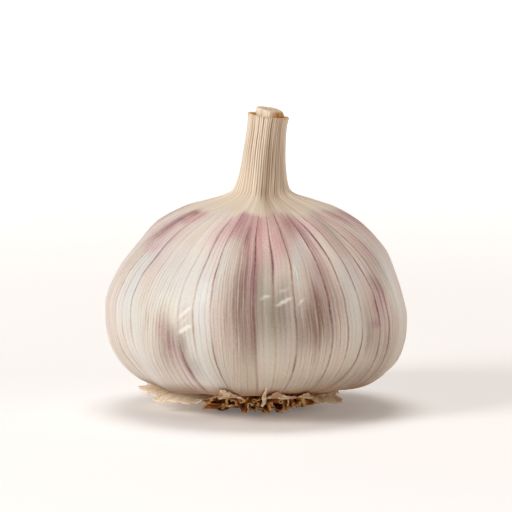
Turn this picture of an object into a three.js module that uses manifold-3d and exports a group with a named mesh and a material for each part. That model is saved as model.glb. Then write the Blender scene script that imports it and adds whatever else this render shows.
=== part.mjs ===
// A hardneck garlic bulb with its stem cut short and its roots trimmed, built with three.js and
// manifold-3d. Units are millimetres and +Z is up. The bulb stands on the flat cut underside of its
// roots, and the origin is the middle of that flat. Azimuths run from the front, -Y, towards +X.

import * as THREE from "three";
import { mergeVertices } from "three/addons/utils/BufferGeometryUtils.js";
import Module from "manifold-3d";

const wasm = await Module();
wasm.setup();

// ---------------------------------------------------------------- driving dimensions

// Outline of the bulb and its neck as [radius, height], from the middle of the base up to the cut rim.
const OUTLINE = [
  [0, 6.6], [7, 6.2], [12.5, 5.6], [18, 5.3], [22.8, 6.2], [26.7, 9], [29.2, 13.2], [30, 18.3],
  [29.3, 23.6], [27.2, 28.8], [24.1, 33.4], [20.2, 37.2], [15.4, 40.1], [11.5, 41.5], [8.9, 42.3],
  [6.7, 43.1], [5.4, 44.4], [4.55, 48], [4.12, 52.5], [3.95, 56], [4.05, 58.65],
];
// Where the middle of the bulb lies at each height, as [height, x]: the neck leans to the right.
const LEAN = [[0, 0.5], [8, 0.5], [14, 0.15], [19, -0.1], [24, -0.4], [28, -0.1], [32, 0.55], [37, 0.4],
  [42, 0.9], [46, 1.25], [52, 1.7], [59, 2.5]];
const LEAN_BACK = 0.6; // the rim's distance behind the base, along Y

// Valleys between the cloves, in degrees, and how far each clove that starts there swells or hangs lower.
const CLOVES = [
  { valley: -92, swell: 0.1, droop: 0.1 }, { valley: -62, swell: 0, droop: 0.3 },
  { valley: -33, swell: 0.2, droop: 0 }, { valley: -4, swell: 0.25, droop: -0.1 },
  { valley: 24, swell: 0.1, droop: 0.2 }, { valley: 50, swell: -0.1, droop: 0.4 },
  { valley: 80, swell: 0.1, droop: 0.6 }, { valley: 112, swell: 0.2, droop: 0.2 },
  { valley: 142, swell: -0.1, droop: 0.1 }, { valley: 172, swell: 0.2, droop: 0.3 },
  { valley: 204, swell: 0, droop: 0 }, { valley: 236, swell: 0.15, droop: 0.2 },
];
const VALLEY_DEPTH = { base: 0.9, belly: 0.45, shoulder: 1.1 };
const CREST_SHARE = 0.75; // share of a valley's depth that lies below the plain outline
const BASE_HEIGHT = 4.9; // the underside's lowest ring
const BELLY_HEIGHT = 18.3;
const SHOULDER_HEIGHT = 37;
const SHOULDER_TOP = 43.5; // the clove valleys have run out here

const RIBS = 72; // raised veins round the skin, each one ridge and one groove of the mesh
const RIB_HEIGHT = { skin: 0.26, neck: 0.16 };
const RIB_JITTER = 0.42; // share of a rib's spacing
const NECK = { start: 42.6, end: 46.1 }; // the skin gathers into folds between these heights
const NECK_FOLDS = 17;
const NECK_FOLD_DEPTH = 0.24;

const SKIN_ROWS = 26; // along the outline
const SHEATH_WALL = 0.7; // wall of the cut neck
const SHEATH_DIP = 0.15; // the wall's inner edge lies this much below its outer one
const SOCKET = { floor: 53, radius: 3.3 };
const RIM_RAGGED = 0.22;
const RIM_SLANT = { front: 0.15, right: 0.52 }; // the neck's cut is this much lower there than at its middle

// The flower stem's cut end: its top slants down from the left to the right, and a little to the front.
const CORE = {
  radius: 2.74, shift: 0.25, foot: 53.4, highSide: 60.35, lowSide: 59.3, frontDrop: 0.22, edge: 0.35,
};
const CORE_SIDES = 28;

// Outline of the root plate as [radius, height]: a low dome whose hub fills the hollow under the bulb.
const HUB_RADIUS = 7.5;
const TUFT_TOP = 3; // outside the hub, nothing of the roots stands higher
const PLATE = [
  [0, 1.7], [5.5, 1.9], [8.6, 2.5], [10.3, 2.6], [10.5, 2.8], [HUB_RADIUS, TUFT_TOP], [6.6, 5.5], [0, 6],
];
const PLATE_SIDES = 30;
// Rings of root stubs: how many, where they leave the plate, their lean outwards, length and width.
const ROOT_RINGS = [
  { count: 1, radius: 0, lean: 0, length: 4.2, width: 3.2 },
  { count: 6, radius: 3, lean: 12, length: 4.4, width: 2.3 },
  { count: 11, radius: 5.6, lean: 24, length: 4.6, width: 2.2 },
  { count: 16, radius: 7.9, lean: 46, length: 3.8, width: 2 },
  { count: 22, radius: 9.6, lean: 64, length: 3.1, width: 1.7 },
];
const ROOT_START = { inset: 0.9, height: 3 }; // the stubs begin this far inside the plate
const ROOT_SIDES = 5;
const ROOT_STEPS = 2;

// Torn ends of the outermost skin, each a thin sheet that leaves from under the bulb.
const FLAP_THICKNESS = 0.6;
const FLAP_ROOT = { radius: 7.6, height: 4.2 };
const FLAP_SAG = 0.25;
const FLAP_WAVE = 0.28;
const FLAP_DROOP = 2; // above 1, a sheet stays level near its root and falls towards its tip
// Each sheet spans azimuths, reaches out from the roots and ends this much higher than it starts, at the
// first azimuth and at the last. Its edge is torn into teeth this deep.
const FLAPS = [
  { name: "skin_flap_left", span: [-120, -60], rise: [0, -1.9], reach: 22.9, teeth: 5, bite: 3.2, seed: 3 },
  { name: "skin_flap_right", span: [62, 104], rise: [-2.1, -1], reach: 17.6, teeth: 5, bite: 2.6, seed: 8 },
  { name: "skin_flap_back", span: [138, 222], rise: [-0.7, -1.1], reach: 17, teeth: 8, bite: 2.4, seed: 5 },
  { name: "skin_collar_front", span: [-54, 56], rise: [-0.6, -0.8], reach: 14.6, teeth: 9, bite: 2, seed: 1 },
];
const FLAP_STEPS = 5;
const FLAP_COLUMNS_PER_TOOTH = 4;

const COLOURS = { skin: 0xe0d3c2, core: 0xd9c7a8, roots: 0x7d5a35, flap: 0xd8c6a6 };

// ---------------------------------------------------------------- small helpers

const { degToRad, euclideanModulo, lerp, radToDeg, smoothstep } = THREE.MathUtils;
const UP = new THREE.Vector3(0, 0, 1);

// A repeatable draw from 0 to 1 for the k-th item of a series.
function draw(k, series) {
  const wave = Math.sin(k * 12.9898 + series * 78.233) * 43758.5453;
  return wave - Math.floor(wave);
}

function interpolate(table, at) {
  const next = table.findIndex(([key]) => key > at);
  if (next === 0) return table[0][1];
  if (next < 0) return table[table.length - 1][1];
  const [k0, v0] = table[next - 1];
  const [k1, v1] = table[next];
  return lerp(v0, v1, (at - k0) / (k1 - k0));
}

// The point at this azimuth, radius and height round the bulb's own leaning middle line.
function around(azimuth, radius, height) {
  const x = interpolate(LEAN, height) + radius * Math.sin(azimuth);
  const lean = LEAN_BACK * smoothstep(height, BELLY_HEIGHT, OUTLINE.at(-1)[1]);
  return new THREE.Vector3(x, lean - radius * Math.cos(azimuth), height);
}

// A closed surface from rows of points, each a ring of the same count, or a single point at a pole.
function geometryFromRows(rows) {
  const positions = [];
  const starts = rows.map((row) => {
    const start = positions.length / 3;
    row.forEach((p) => positions.push(p.x, p.y, p.z));
    return start;
  });
  const index = [];
  for (let j = 0; j + 1 < rows.length; j++) {
    const [low, high] = [rows[j], rows[j + 1]];
    const count = Math.max(low.length, high.length);
    for (let i = 0; i < count; i++) {
      const next = (i + 1) % count;
      const a = starts[j] + (low.length > 1 ? i : 0);
      const b = starts[j] + (low.length > 1 ? next : 0);
      const c = starts[j + 1] + (high.length > 1 ? next : 0);
      const d = starts[j + 1] + (high.length > 1 ? i : 0);
      if (low.length > 1) index.push(a, b, c);
      if (high.length > 1) index.push(a, c, d);
    }
  }
  const geometry = new THREE.BufferGeometry();
  geometry.setAttribute("position", new THREE.Float32BufferAttribute(positions, 3));
  geometry.setIndex(index);
  return geometry;
}

function solidOf(geometry) {
  const bare = new THREE.BufferGeometry().setAttribute("position", geometry.getAttribute("position"));
  bare.setIndex(geometry.index);
  const merged = mergeVertices(bare, 1e-4);
  return new wasm.Manifold(new wasm.Mesh({
    numProp: 3,
    vertProperties: merged.attributes.position.array,
    triVerts: new Uint32Array(merged.index.array),
  }));
}

function geometryOf(solid) {
  const mesh = solid.getMesh();
  const geometry = new THREE.BufferGeometry();
  geometry.setAttribute("position", new THREE.Float32BufferAttribute(mesh.vertProperties, 3));
  geometry.setIndex(Array.from(mesh.triVerts));
  return geometry;
}

function piece(name, geometry, colour, roughness) {
  geometry.computeVertexNormals();
  const material = new THREE.MeshStandardMaterial({ color: colour, roughness, metalness: 0 });
  const mesh = new THREE.Mesh(geometry, material);
  mesh.name = name;
  return mesh;
}

// ---------------------------------------------------------------- the bulb's skin

const outline = new THREE.SplineCurve(OUTLINE.map(([r, z]) => new THREE.Vector2(r, z)));

// The clove under an azimuth, and how far across it the azimuth lies: 0 and 1 are its valleys.
function cloveAt(azimuth) {
  const degrees = euclideanModulo(radToDeg(azimuth) - CLOVES[0].valley, 360) + CLOVES[0].valley;
  let k = CLOVES.length - 1;
  while (CLOVES[k].valley > degrees) k--;
  const end = k + 1 < CLOVES.length ? CLOVES[k + 1].valley : CLOVES[0].valley + 360;
  return { clove: CLOVES[k], across: (degrees - CLOVES[k].valley) / (end - CLOVES[k].valley) };
}

function valleyDepth(height) {
  const { base, belly, shoulder } = VALLEY_DEPTH;
  if (height < BELLY_HEIGHT) return lerp(base, belly, smoothstep(height, BASE_HEIGHT, BELLY_HEIGHT));
  const rising = lerp(belly, shoulder, smoothstep(height, BELLY_HEIGHT, SHOULDER_HEIGHT));
  return rising * (1 - smoothstep(height, SHOULDER_HEIGHT, SHOULDER_TOP));
}

// How far the skin stands out from the plain outline, and how far it hangs down, at an azimuth and height.
function swelling(azimuth, radius, height) {
  const { clove, across } = cloveAt(azimuth);
  const crown = Math.pow((1 - Math.cos(2 * Math.PI * across)) / 2, 0.75);
  const onBulb = smoothstep(radius, 6, 16);
  return {
    out: (valleyDepth(height) * (crown - CREST_SHARE) + clove.swell * crown) * onBulb,
    down: clove.droop * crown * onBulb * (1 - smoothstep(height, BASE_HEIGHT, BELLY_HEIGHT)),
  };
}

// Azimuths of the mesh columns: even ones are ribs, odd ones the grooves between them.
function ribAzimuths() {
  const step = 360 / RIBS;
  const ribs = Array.from({ length: RIBS }, (_, k) => (k + RIB_JITTER * (draw(k, 1) - 0.5)) * step - 180);
  return ribs.flatMap((rib, k) => {
    const following = k + 1 < RIBS ? ribs[k + 1] : ribs[0] + 360;
    return [degToRad(rib), degToRad((rib + following) / 2)];
  });
}

function skinPoint(azimuth, column, radius, height) {
  const { out, down } = swelling(azimuth, radius, height);
  const onNeck = smoothstep(height, NECK.start, NECK.end);
  const rib = column % 2 === 0 ? 0.5 : -0.5;
  const strength = 0.6 + 0.8 * draw(Math.floor(column / 2), 2);
  const fading = smoothstep(radius, 3, lerp(9, 4, onNeck));
  const ribHeight = lerp(RIB_HEIGHT.skin * strength, RIB_HEIGHT.neck, onNeck) * fading;
  const fold = Math.cos(NECK_FOLDS * azimuth + 0.9 * Math.sin(3 * azimuth)) * NECK_FOLD_DEPTH * onNeck;
  return around(azimuth, radius + out + rib * ribHeight + fold, height - down);
}

// How far the neck's cut lies above its mean height: it slants to the right and is a little ragged.
function cutHeight(azimuth, column, series) {
  const slant = RIM_SLANT.front * Math.cos(azimuth) + RIM_SLANT.right * Math.sin(azimuth);
  return RIM_RAGGED * (draw(column, series) - 0.5) - slant;
}

function bulb() {
  const azimuths = ribAzimuths();
  const rows = [[around(0, 0, OUTLINE[0][1])]];
  for (let j = 2; j <= SKIN_ROWS; j++) {
    const at = outline.getPoint(j / SKIN_ROWS);
    const cut = j === SKIN_ROWS ? cutHeight : () => 0;
    rows.push(azimuths.map((a, i) => skinPoint(a, i, at.x, at.y + cut(a, i, 4))));
  }
  const [rimRadius, rimHeight] = OUTLINE.at(-1);
  const innerHeight = (a, i) => rimHeight - SHEATH_DIP + cutHeight(a, i, 5);
  rows.push(azimuths.map((a, i) => around(a, rimRadius - SHEATH_WALL, innerHeight(a, i))));
  rows.push(azimuths.map((a) => around(a, SOCKET.radius, SOCKET.floor)));
  rows.push([around(0, 0, SOCKET.floor)]);
  return piece("bulb", geometryFromRows(rows), COLOURS.skin, 0.55);
}

// ---------------------------------------------------------------- the flower stem's cut end, inside the neck

function stemCore() {
  const place = (azimuth, radius, height) => {
    const point = around(azimuth, radius, height);
    point.x += CORE.shift;
    return point;
  };
  const ring = (radius, drop) => Array.from({ length: CORE_SIDES }, (_, i) => {
    const azimuth = (2 * Math.PI * i) / CORE_SIDES;
    const [right, front] = [Math.sin(azimuth), Math.cos(azimuth)].map((c) => (c * radius) / CORE.radius);
    const slant = lerp(CORE.highSide, CORE.lowSide, (1 + right) / 2) - CORE.frontDrop * front;
    return place(azimuth, radius, drop === null ? CORE.foot : slant - drop);
  });
  const rows = [
    [place(0, 0, CORE.foot)],
    ring(CORE.radius, null),
    ring(CORE.radius, CORE.edge),
    ring(CORE.radius - CORE.edge, 0),
    [place(0, 0, (CORE.highSide + CORE.lowSide) / 2)],
  ];
  return piece("stem_core", geometryFromRows(rows), COLOURS.core, 0.7);
}

// ---------------------------------------------------------------- root plate and trimmed roots

// One tapered root stub that starts inside the plate and curls outwards and down.
function rootStub(ring, k, series) {
  const azimuth = (2 * Math.PI * (k + 0.5 * draw(k, series))) / ring.count;
  const lean = degToRad(ring.lean * (0.8 + 0.25 * draw(k, series + 1)));
  const outwards = new THREE.Vector3(Math.sin(azimuth), -Math.cos(azimuth), 0);
  const sideways = new THREE.Vector3(Math.cos(azimuth), Math.sin(azimuth), 0);
  const start = outwards.clone().multiplyScalar(ring.radius - ROOT_START.inset);
  start.add(new THREE.Vector3(interpolate(LEAN, 0), 0, ROOT_START.height));
  const heading = UP.clone().multiplyScalar(-Math.cos(lean)).addScaledVector(outwards, Math.sin(lean));
  const middle = start.clone().addScaledVector(heading, ring.length * 0.55);
  const curl = heading.clone().addScaledVector(sideways, 1.4 * (draw(k, series + 2) - 0.5));
  curl.addScaledVector(UP, -0.5 * draw(k, series + 3)).normalize();
  const end = middle.clone().addScaledVector(curl, ring.length * 0.5);
  const path = new THREE.QuadraticBezierCurve3(start, middle, end);
  const turned = new THREE.Quaternion().setFromUnitVectors(UP, heading);
  const rows = [[start]];
  for (let j = 0; j <= ROOT_STEPS; j++) {
    const t = j / ROOT_STEPS;
    const width = ring.width * lerp(1.1, 0.8, t) * (0.85 + 0.3 * draw(k * 7 + j, series + 4));
    rows.push(Array.from({ length: ROOT_SIDES }, (_, i) => {
      const angle = (2 * Math.PI * (i + draw(k, series + 5))) / ROOT_SIDES;
      const spoke = new THREE.Vector3(Math.cos(angle), Math.sin(angle), 0);
      spoke.multiplyScalar((width / 2) * (1 + 0.25 * (i % 2)));
      return spoke.applyQuaternion(turned).add(path.getPoint(t));
    }));
  }
  rows.push([end]);
  return solidOf(geometryFromRows(rows));
}

function rootTuft() {
  const middle = interpolate(LEAN, 0);
  const upright = (shape, height) => solidOf(shape.rotateX(Math.PI / 2).translate(middle, 0, height));
  const plate = new THREE.LatheGeometry(PLATE.map(([r, z]) => new THREE.Vector2(r, z)), PLATE_SIDES);
  const solids = [upright(plate, 0)];
  ROOT_RINGS.forEach((ring, r) => {
    for (let k = 0; k < ring.count; k++) solids.push(rootStub(ring, k, 20 + 10 * r));
  });
  const disc = (radius, thickness) => new THREE.CylinderGeometry(radius, radius, thickness, PLATE_SIDES);
  const below = upright(disc(40, 10), -5);
  const above = upright(disc(40, 10), TUFT_TOP + 5).subtract(upright(disc(HUB_RADIUS, 40), 0));
  const tuft = wasm.Manifold.union(solids).subtract(below).subtract(above);
  return piece("root_tuft", geometryOf(tuft), COLOURS.roots, 0.9);
}

// ---------------------------------------------------------------- torn ends of the outermost skin

// Height of the sheet's middle: it follows the bulb's underside, then hangs free.
function flapHeight(flap, along, across) {
  const wave = FLAP_WAVE * Math.sin(Math.PI * 2 * (across * 2.3 + draw(flap.seed, 30))) * along;
  const sag = FLAP_SAG * along * (1 - along);
  return FLAP_ROOT.height + lerp(...flap.rise, across) * Math.pow(along, FLAP_DROOP) + wave - sag;
}

function skinFlap(flap) {
  const columns = flap.teeth * FLAP_COLUMNS_PER_TOOTH;
  const reachAt = (i) => {
    const tooth = Math.floor(i / FLAP_COLUMNS_PER_TOOTH);
    const within = (i % FLAP_COLUMNS_PER_TOOTH) / FLAP_COLUMNS_PER_TOOTH;
    const cut = flap.bite * (0.35 + 0.65 * draw(tooth, flap.seed)) * Math.abs(2 * within - 1);
    const sides = flap.bite * 1.2 * Math.pow(Math.abs((2 * i) / columns - 1), 3);
    return flap.reach - cut - sides;
  };
  const point = (i, j, side) => {
    const [across, along] = [i / columns, j / FLAP_STEPS];
    const azimuth = degToRad(lerp(...flap.span, across));
    const radius = lerp(FLAP_ROOT.radius, reachAt(i), along);
    const lift = (side * FLAP_THICKNESS) / 2;
    return new THREE.Vector3(
      interpolate(LEAN, 0) + radius * Math.sin(azimuth),
      -radius * Math.cos(azimuth),
      flapHeight(flap, along, across) + lift,
    );
  };
  // Each loop goes once round the sheet's section, so the sheet is a tube, closed at both of its sides.
  const loops = [];
  for (let i = 0; i <= columns; i++) {
    const under = Array.from({ length: FLAP_STEPS + 1 }, (_, j) => point(i, j, -1));
    const over = Array.from({ length: FLAP_STEPS + 1 }, (_, j) => point(i, FLAP_STEPS - j, 1));
    loops.push([...under, ...over]);
  }
  return piece(flap.name, closedTube(loops), COLOURS.flap, 0.6);
}

// A tube from loops of points, its ends closed by strips between the loop's two halves.
function closedTube(loops) {
  const count = loops[0].length;
  const positions = loops.flat().flatMap((p) => [p.x, p.y, p.z]);
  const index = [];
  for (let i = 0; i + 1 < loops.length; i++) {
    for (let j = 0; j < count; j++) {
      const [a, b] = [i * count + j, i * count + ((j + 1) % count)];
      const [c, d] = [b + count, a + count];
      index.push(a, c, b, a, d, c);
    }
  }
  const last = (loops.length - 1) * count;
  for (let j = 0; j + 1 < count / 2; j++) {
    const [a, b, c, d] = [j, j + 1, count - 2 - j, count - 1 - j];
    index.push(a, b, c, a, c, d);
    index.push(last + a, last + c, last + b, last + a, last + d, last + c);
  }
  const geometry = new THREE.BufferGeometry();
  geometry.setAttribute("position", new THREE.Float32BufferAttribute(positions, 3));
  geometry.setIndex(index);
  return geometry;
}

// ---------------------------------------------------------------- the whole bulb

const garlic = new THREE.Group();
garlic.add(bulb(), stemCore(), rootTuft(), ...FLAPS.map(skinFlap));

export default garlic;
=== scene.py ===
"""The looks of a garlic bulb: veined papery skin, cut stem, dried roots and torn ends of skin.

Shapes are worked out in millimetres in the part's own frame, with +Z up and the front towards -Y,
and azimuths in degrees from the front towards +X. Meshes are made in metres.
"""

import math

import bpy
import numpy as np
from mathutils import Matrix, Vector


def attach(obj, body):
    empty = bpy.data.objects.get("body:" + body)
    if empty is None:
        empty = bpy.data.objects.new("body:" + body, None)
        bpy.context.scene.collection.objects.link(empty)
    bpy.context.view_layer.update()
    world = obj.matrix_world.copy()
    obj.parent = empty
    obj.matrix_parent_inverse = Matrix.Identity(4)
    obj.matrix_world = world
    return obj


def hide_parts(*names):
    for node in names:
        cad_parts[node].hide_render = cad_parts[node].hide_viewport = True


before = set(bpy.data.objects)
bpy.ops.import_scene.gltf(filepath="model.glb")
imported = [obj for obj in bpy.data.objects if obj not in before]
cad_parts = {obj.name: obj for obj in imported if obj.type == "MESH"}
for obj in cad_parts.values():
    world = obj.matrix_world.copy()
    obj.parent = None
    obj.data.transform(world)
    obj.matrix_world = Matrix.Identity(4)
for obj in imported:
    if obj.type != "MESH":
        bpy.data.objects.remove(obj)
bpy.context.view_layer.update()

MM = 0.001
BODY = "root"

# ---------------------------------------------------------------- camera, lights and stage

CAMERA = {"distance": 700, "elevation": 6.5, "aim": 30.6, "lens": 247, "sensor": 36}
TARGET = Vector((0, 0, CAMERA["aim"] * MM))
# Each soft lamp's place and size in metres, its power in watts and its colour.
LAMPS = {
    "key": {"at": (-0.84, -0.6, 0.54), "size": 0.5, "power": 7.2, "colour": (1, 0.985, 0.985)},
    "fill": {"at": (0.9, -0.75, 0.4), "size": 0.8, "power": 2.0, "colour": (1, 0.82, 0.68)},
    "top": {"at": (0, 0.1, 1), "size": 0.6, "power": 4.3, "colour": (1, 0.95, 0.93)},
}
# The surroundings are bright near the horizon, all the way round, and dimmer and warmer overhead.
WORLD = {"horizon": (1, 1, 1, 1), "overhead": (0.24, 0.215, 0.195, 1), "band": (0.1, 0.42)}
FLOOR_SIZE = 12  # metres
FLOOR_COLOUR = (0.93, 0.925, 0.915, 1)
FLOOR_GLOW = {"reach": (0.05, 0.9), "strength": (0.12, 0.85)}  # metres from the middle, and brightness


def add_facing(name, data, spot):
    """Adds a camera or a lamp at a spot, facing the target."""
    thing = bpy.data.objects.new(name, data)
    thing.location = spot
    thing.rotation_euler = (TARGET - thing.location).to_track_quat("-Z", "Y").to_euler()
    bpy.context.scene.collection.objects.link(thing)
    return thing


def add_camera():
    elevation = math.radians(CAMERA["elevation"])
    back = Vector((0, -math.cos(elevation), math.sin(elevation)))
    data = bpy.data.cameras.new("camera")
    data.lens, data.sensor_width, data.clip_start = CAMERA["lens"], CAMERA["sensor"], 0.01
    bpy.context.scene.camera = add_facing("camera", data, TARGET + back * CAMERA["distance"] * MM)


def add_lights():
    for name, lamp in LAMPS.items():
        data = bpy.data.lights.new(name, "AREA")
        data.shape = "DISK"
        data.size, data.energy, data.color = lamp["size"], lamp["power"], lamp["colour"]
        add_facing(name, data, lamp["at"])
    world = bpy.data.worlds.new("studio")
    nodes = Nodes(world)
    rise = nodes.node("SeparateXYZ", {0: nodes.node("TexCoord", output="Generated")}, output="Z")
    sky = nodes.mix(nodes.span(rise, *WORLD["band"]), WORLD["horizon"], WORLD["overhead"])
    nodes.feed(nodes.tree.nodes["Background"].inputs["Color"], sky)
    bpy.context.scene.world = world
    bpy.context.scene.view_settings.view_transform = "Standard"


def add_floor():
    half = FLOOR_SIZE / 2
    corners = [(-half, -half, 0), (half, -half, 0), (half, half, 0), (-half, half, 0)]
    mesh = bpy.data.meshes.new("floor")
    mesh.from_pydata(corners, [], [(0, 1, 2, 3)])
    floor = bpy.data.objects.new("floor", mesh)
    bpy.context.scene.collection.objects.link(floor)
    m = Material("floor", roughness=0.9)
    distance = m.node("VectorMath", {0: m.position()}, output="Value", operation="LENGTH")
    m.shader["Emission Color"].default_value = FLOOR_COLOUR
    glow = m.span(distance, *FLOOR_GLOW["reach"], *FLOOR_GLOW["strength"])
    m.feed(m.shader["Emission Strength"], glow)
    mesh.materials.append(m.finish(FLOOR_COLOUR))


# ---------------------------------------------------------------- numbers


def draw(k, series):
    """A repeatable draw from 0 to 1 for the k-th item of a series."""
    wave = np.sin(np.asarray(k) * 12.9898 + series * 78.233) * 43758.5453
    return wave - np.floor(wave)


def lerp(low, high, share):
    return low + (high - low) * share


def smoothstep(value, low, high):
    share = np.clip((value - low) / (high - low), 0, 1)
    return share * share * (3 - 2 * share)


def turn(azimuth, start=0):
    """Degrees from one azimuth to another, from -180 to 180."""
    return (azimuth - start + 180) % 360 - 180


def unit(vectors):
    return vectors / np.maximum(np.linalg.norm(vectors, axis=-1, keepdims=True), 1e-9)


def interpolate(table, at):
    """A smooth curve through the table's (place, value) rows, level beyond its ends."""
    place, value = np.array(table, float).T
    slope = np.gradient(value, place)
    k = np.clip(np.searchsorted(place, at) - 1, 0, len(place) - 2)
    width = place[k + 1] - place[k]
    t = np.clip((at - place[k]) / width, 0, 1)
    start = value[k] * (1 + 2 * t) * (1 - t) ** 2 + slope[k] * width * t * (1 - t) ** 2
    return start + value[k + 1] * t * t * (3 - 2 * t) - slope[k + 1] * width * t * t * (1 - t)


def wander(points, size, seed, waves=18):
    """Smooth noise from about -1 to 1 whose bumps are about this size, at points in space."""
    total = np.zeros(points.shape[:-1])
    for k in range(waves):
        direction = np.array([draw(k, seed + c) - 0.5 for c in range(3)])
        direction *= 2 * math.pi * lerp(0.3, 0.8, draw(k, seed + 3)) / size / np.linalg.norm(direction)
        total += np.sin(points @ direction + 2 * math.pi * draw(k, seed + 4))
    return total * math.sqrt(2 / waves) / 1.6


def drift(points, size, seed, step=1):
    """Smooth noise in each of the three directions, whose seeds are a step apart."""
    return np.stack([wander(points, size, seed + step * c) for c in range(3)], -1)


def catmull_rom(points, steps):
    """A smooth curve through the points, with this many steps on each span."""
    p = np.array(points, float)
    slope = (np.vstack([p[1:], p[-1:]]) - np.vstack([p[:1], p[:-1]])) / 2
    t = np.linspace(0, 1, steps, endpoint=False)[:, None, None]
    a, b, u, v = p[:-1], p[1:], slope[:-1], slope[1:]
    spans = (2 * a - 2 * b + u + v) * t**3 + (3 * b - 3 * a - 2 * u - v) * t**2 + u * t + a
    return np.vstack([spans.transpose(1, 0, 2).reshape(-1, p.shape[1]), p[-1:]])


def arc_length(curve):
    """Length along a line of points, from its start to each of them."""
    return np.append(0, np.cumsum(np.linalg.norm(np.diff(curve, axis=0), axis=1)))


def at_lengths(curve, lengths):
    """The points of a line at these lengths along it."""
    along = arc_length(curve)
    return np.stack([np.interp(lengths, along, coordinate) for coordinate in curve.T], -1)


# ---------------------------------------------------------------- meshes


def grid_faces(rows, columns, closed=True):
    """Quads between neighbouring rows of points; a closed grid's last column joins its first."""
    i = np.arange(columns if closed else columns - 1)
    j = np.arange(rows - 1)[:, None]
    a = j * columns + i
    b = j * columns + (i + 1) % columns
    return np.stack([a, b, b + columns, a + columns], -1).reshape(-1, 4).tolist()


def add_piece(name, points, faces, material, attributes, node):
    """A smooth mesh piece that stands for a CAD node. Attributes are one number or vector a point."""
    mesh = bpy.data.meshes.new(name)
    mesh.from_pydata((points * MM).tolist(), [], faces)
    mesh.shade_smooth()
    for key, values in attributes.items():
        values = np.asarray(values, np.float32)
        kind, field = ("FLOAT_VECTOR", "vector") if values.ndim == 2 else ("FLOAT", "value")
        mesh.attributes.new(key, kind, "POINT").data.foreach_set(field, values.ravel())
    mesh.materials.append(material)
    piece = bpy.data.objects.new(name, mesh)
    bpy.context.scene.collection.objects.link(piece)
    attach(piece, BODY)
    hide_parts(node)


def add_tube(name, grid, ends, material, attributes, node):
    """A piece from a closed grid whose first and last rows are each drawn to a point."""
    rows, columns = grid.shape[:2]
    i = np.arange(columns)
    j = (i + 1) % columns
    last = (rows - 1) * columns
    faces = grid_faces(rows, columns)
    for tip, (a, b) in enumerate([(j, i), (last + i, last + j)]):
        faces += np.stack([a, b, np.full(columns, rows * columns + tip)], -1).tolist()
    points = np.vstack([grid.reshape(-1, 3), *ends])
    attributes = {key: np.concatenate([v, v[:1], v[-1:]]) for key, v in attributes.items()}
    add_piece(name, points, faces, material, attributes, node)


# ---------------------------------------------------------------- materials


def srgb(*colour):
    """A colour as it is seen, from 0 to 255, turned into the linear numbers that shaders use."""
    share = [c / 255 for c in colour]
    return tuple(c / 12.92 if c <= 0.04045 else ((c + 0.055) / 1.055) ** 2.4 for c in share)


class Nodes:
    """Short calls for the nodes of a material or of the surroundings."""

    def __init__(self, owner):
        owner.use_nodes = True
        self.tree = owner.node_tree

    def feed(self, socket, value):
        """Links or sets a socket. A colour is three numbers as it is seen, or four linear ones."""
        if isinstance(value, bpy.types.NodeSocket):
            self.tree.links.new(value, socket)
        elif socket.type == "RGBA" and len(value) == 3:
            socket.default_value = (*srgb(*value), 1)
        else:
            socket.default_value = value

    def node(self, kind, inputs=None, output=0, **settings):
        """An output of a new node, from its inputs by number or name, and its settings."""
        node = self.tree.nodes.new("ShaderNode" + kind)
        for key, value in settings.items():
            setattr(node, key, value)
        for key, value in (inputs or {}).items():
            self.feed(node.inputs[key], value)
        return node.outputs[output]

    def attribute(self, name, output="Fac"):
        return self.node("Attribute", output=output, attribute_name=name)

    def position(self):
        return self.node("NewGeometry", output="Position")

    def noise(self, place, scale, detail=2, roughness=0.5, stretch=None):
        """Noise, drawn out along the axes whose stretch is below one."""
        if stretch:
            place = self.node("VectorMath", {0: place, 1: stretch}, operation="MULTIPLY")
        inputs = {"Vector": place, "Scale": scale, "Detail": detail, "Roughness": roughness}
        return self.node("TexNoise", inputs)

    def span(self, value, low, high, to_low=0, to_high=1):
        """The value's place between low and high, eased, on the scale from to_low to to_high."""
        inputs = dict(enumerate((value, low, high, to_low, to_high)))
        return self.node("MapRange", inputs, interpolation_type="SMOOTHSTEP")

    def math(self, operation, a, b):
        return self.node("Math", {0: a, 1: b}, operation=operation)

    def product(self, value, *factors):
        for factor in factors:
            value = self.math("MULTIPLY", value, factor)
        return value

    def mix(self, share, a, b):
        return self.node("Mix", {0: share, 6: a, 7: b}, output=2, data_type="RGBA")

    def layers(self, base, *layers):
        """The base under layers of (colour, share, share ...), each as strong as its shares' product."""
        for colour, *shares in layers:
            base = self.mix(self.product(*shares), base, colour)
        return base


class Material(Nodes):
    """A material round one Principled shader."""

    def __init__(self, name, roughness):
        self.data = bpy.data.materials.new(name)
        super().__init__(self.data)
        self.shader = self.tree.nodes["Principled BSDF"].inputs
        self.shader["Roughness"].default_value = roughness

    def finish(self, colour, bumps=(), soft=None):
        """Sets the colour, relief from (height, depth) pairs, and how much light spreads how far below."""
        relief = {}
        for height, depth in bumps:
            relief["Normal"] = self.node("Bump", {"Distance": depth * MM, "Height": height, **relief})
        for name, value in {"Base Color": colour, **relief}.items():
            self.feed(self.shader[name], value)
        if soft:
            self.shader["Subsurface Weight"].default_value = soft["weight"]
            self.shader["Subsurface Radius"].default_value = (1, 0.6, 0.4)
            self.shader["Subsurface Scale"].default_value = soft["depth"] * MM
        return self.data


# ---------------------------------------------------------------- the skin's shape

# Outline of the bulb and its neck as (radius, height), from the middle of the base up to the cut rim.
OUTLINE = [
    (0, 6.6), (7, 6.2), (12.5, 5.6), (18, 5.3), (22.8, 6.2), (26.7, 9), (29.2, 13.2), (30, 18.3), (29.3, 23.6),
    (27.1, 28.8), (23.8, 33.4), (20.1, 37.2), (15.4, 40.1), (11.5, 41.5), (8.9, 42.3), (6.7, 43.1), (5.4, 44.4),
    (4.55, 48), (4.12, 52.5), (3.95, 56), (4.05, 58.65),
]
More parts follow.
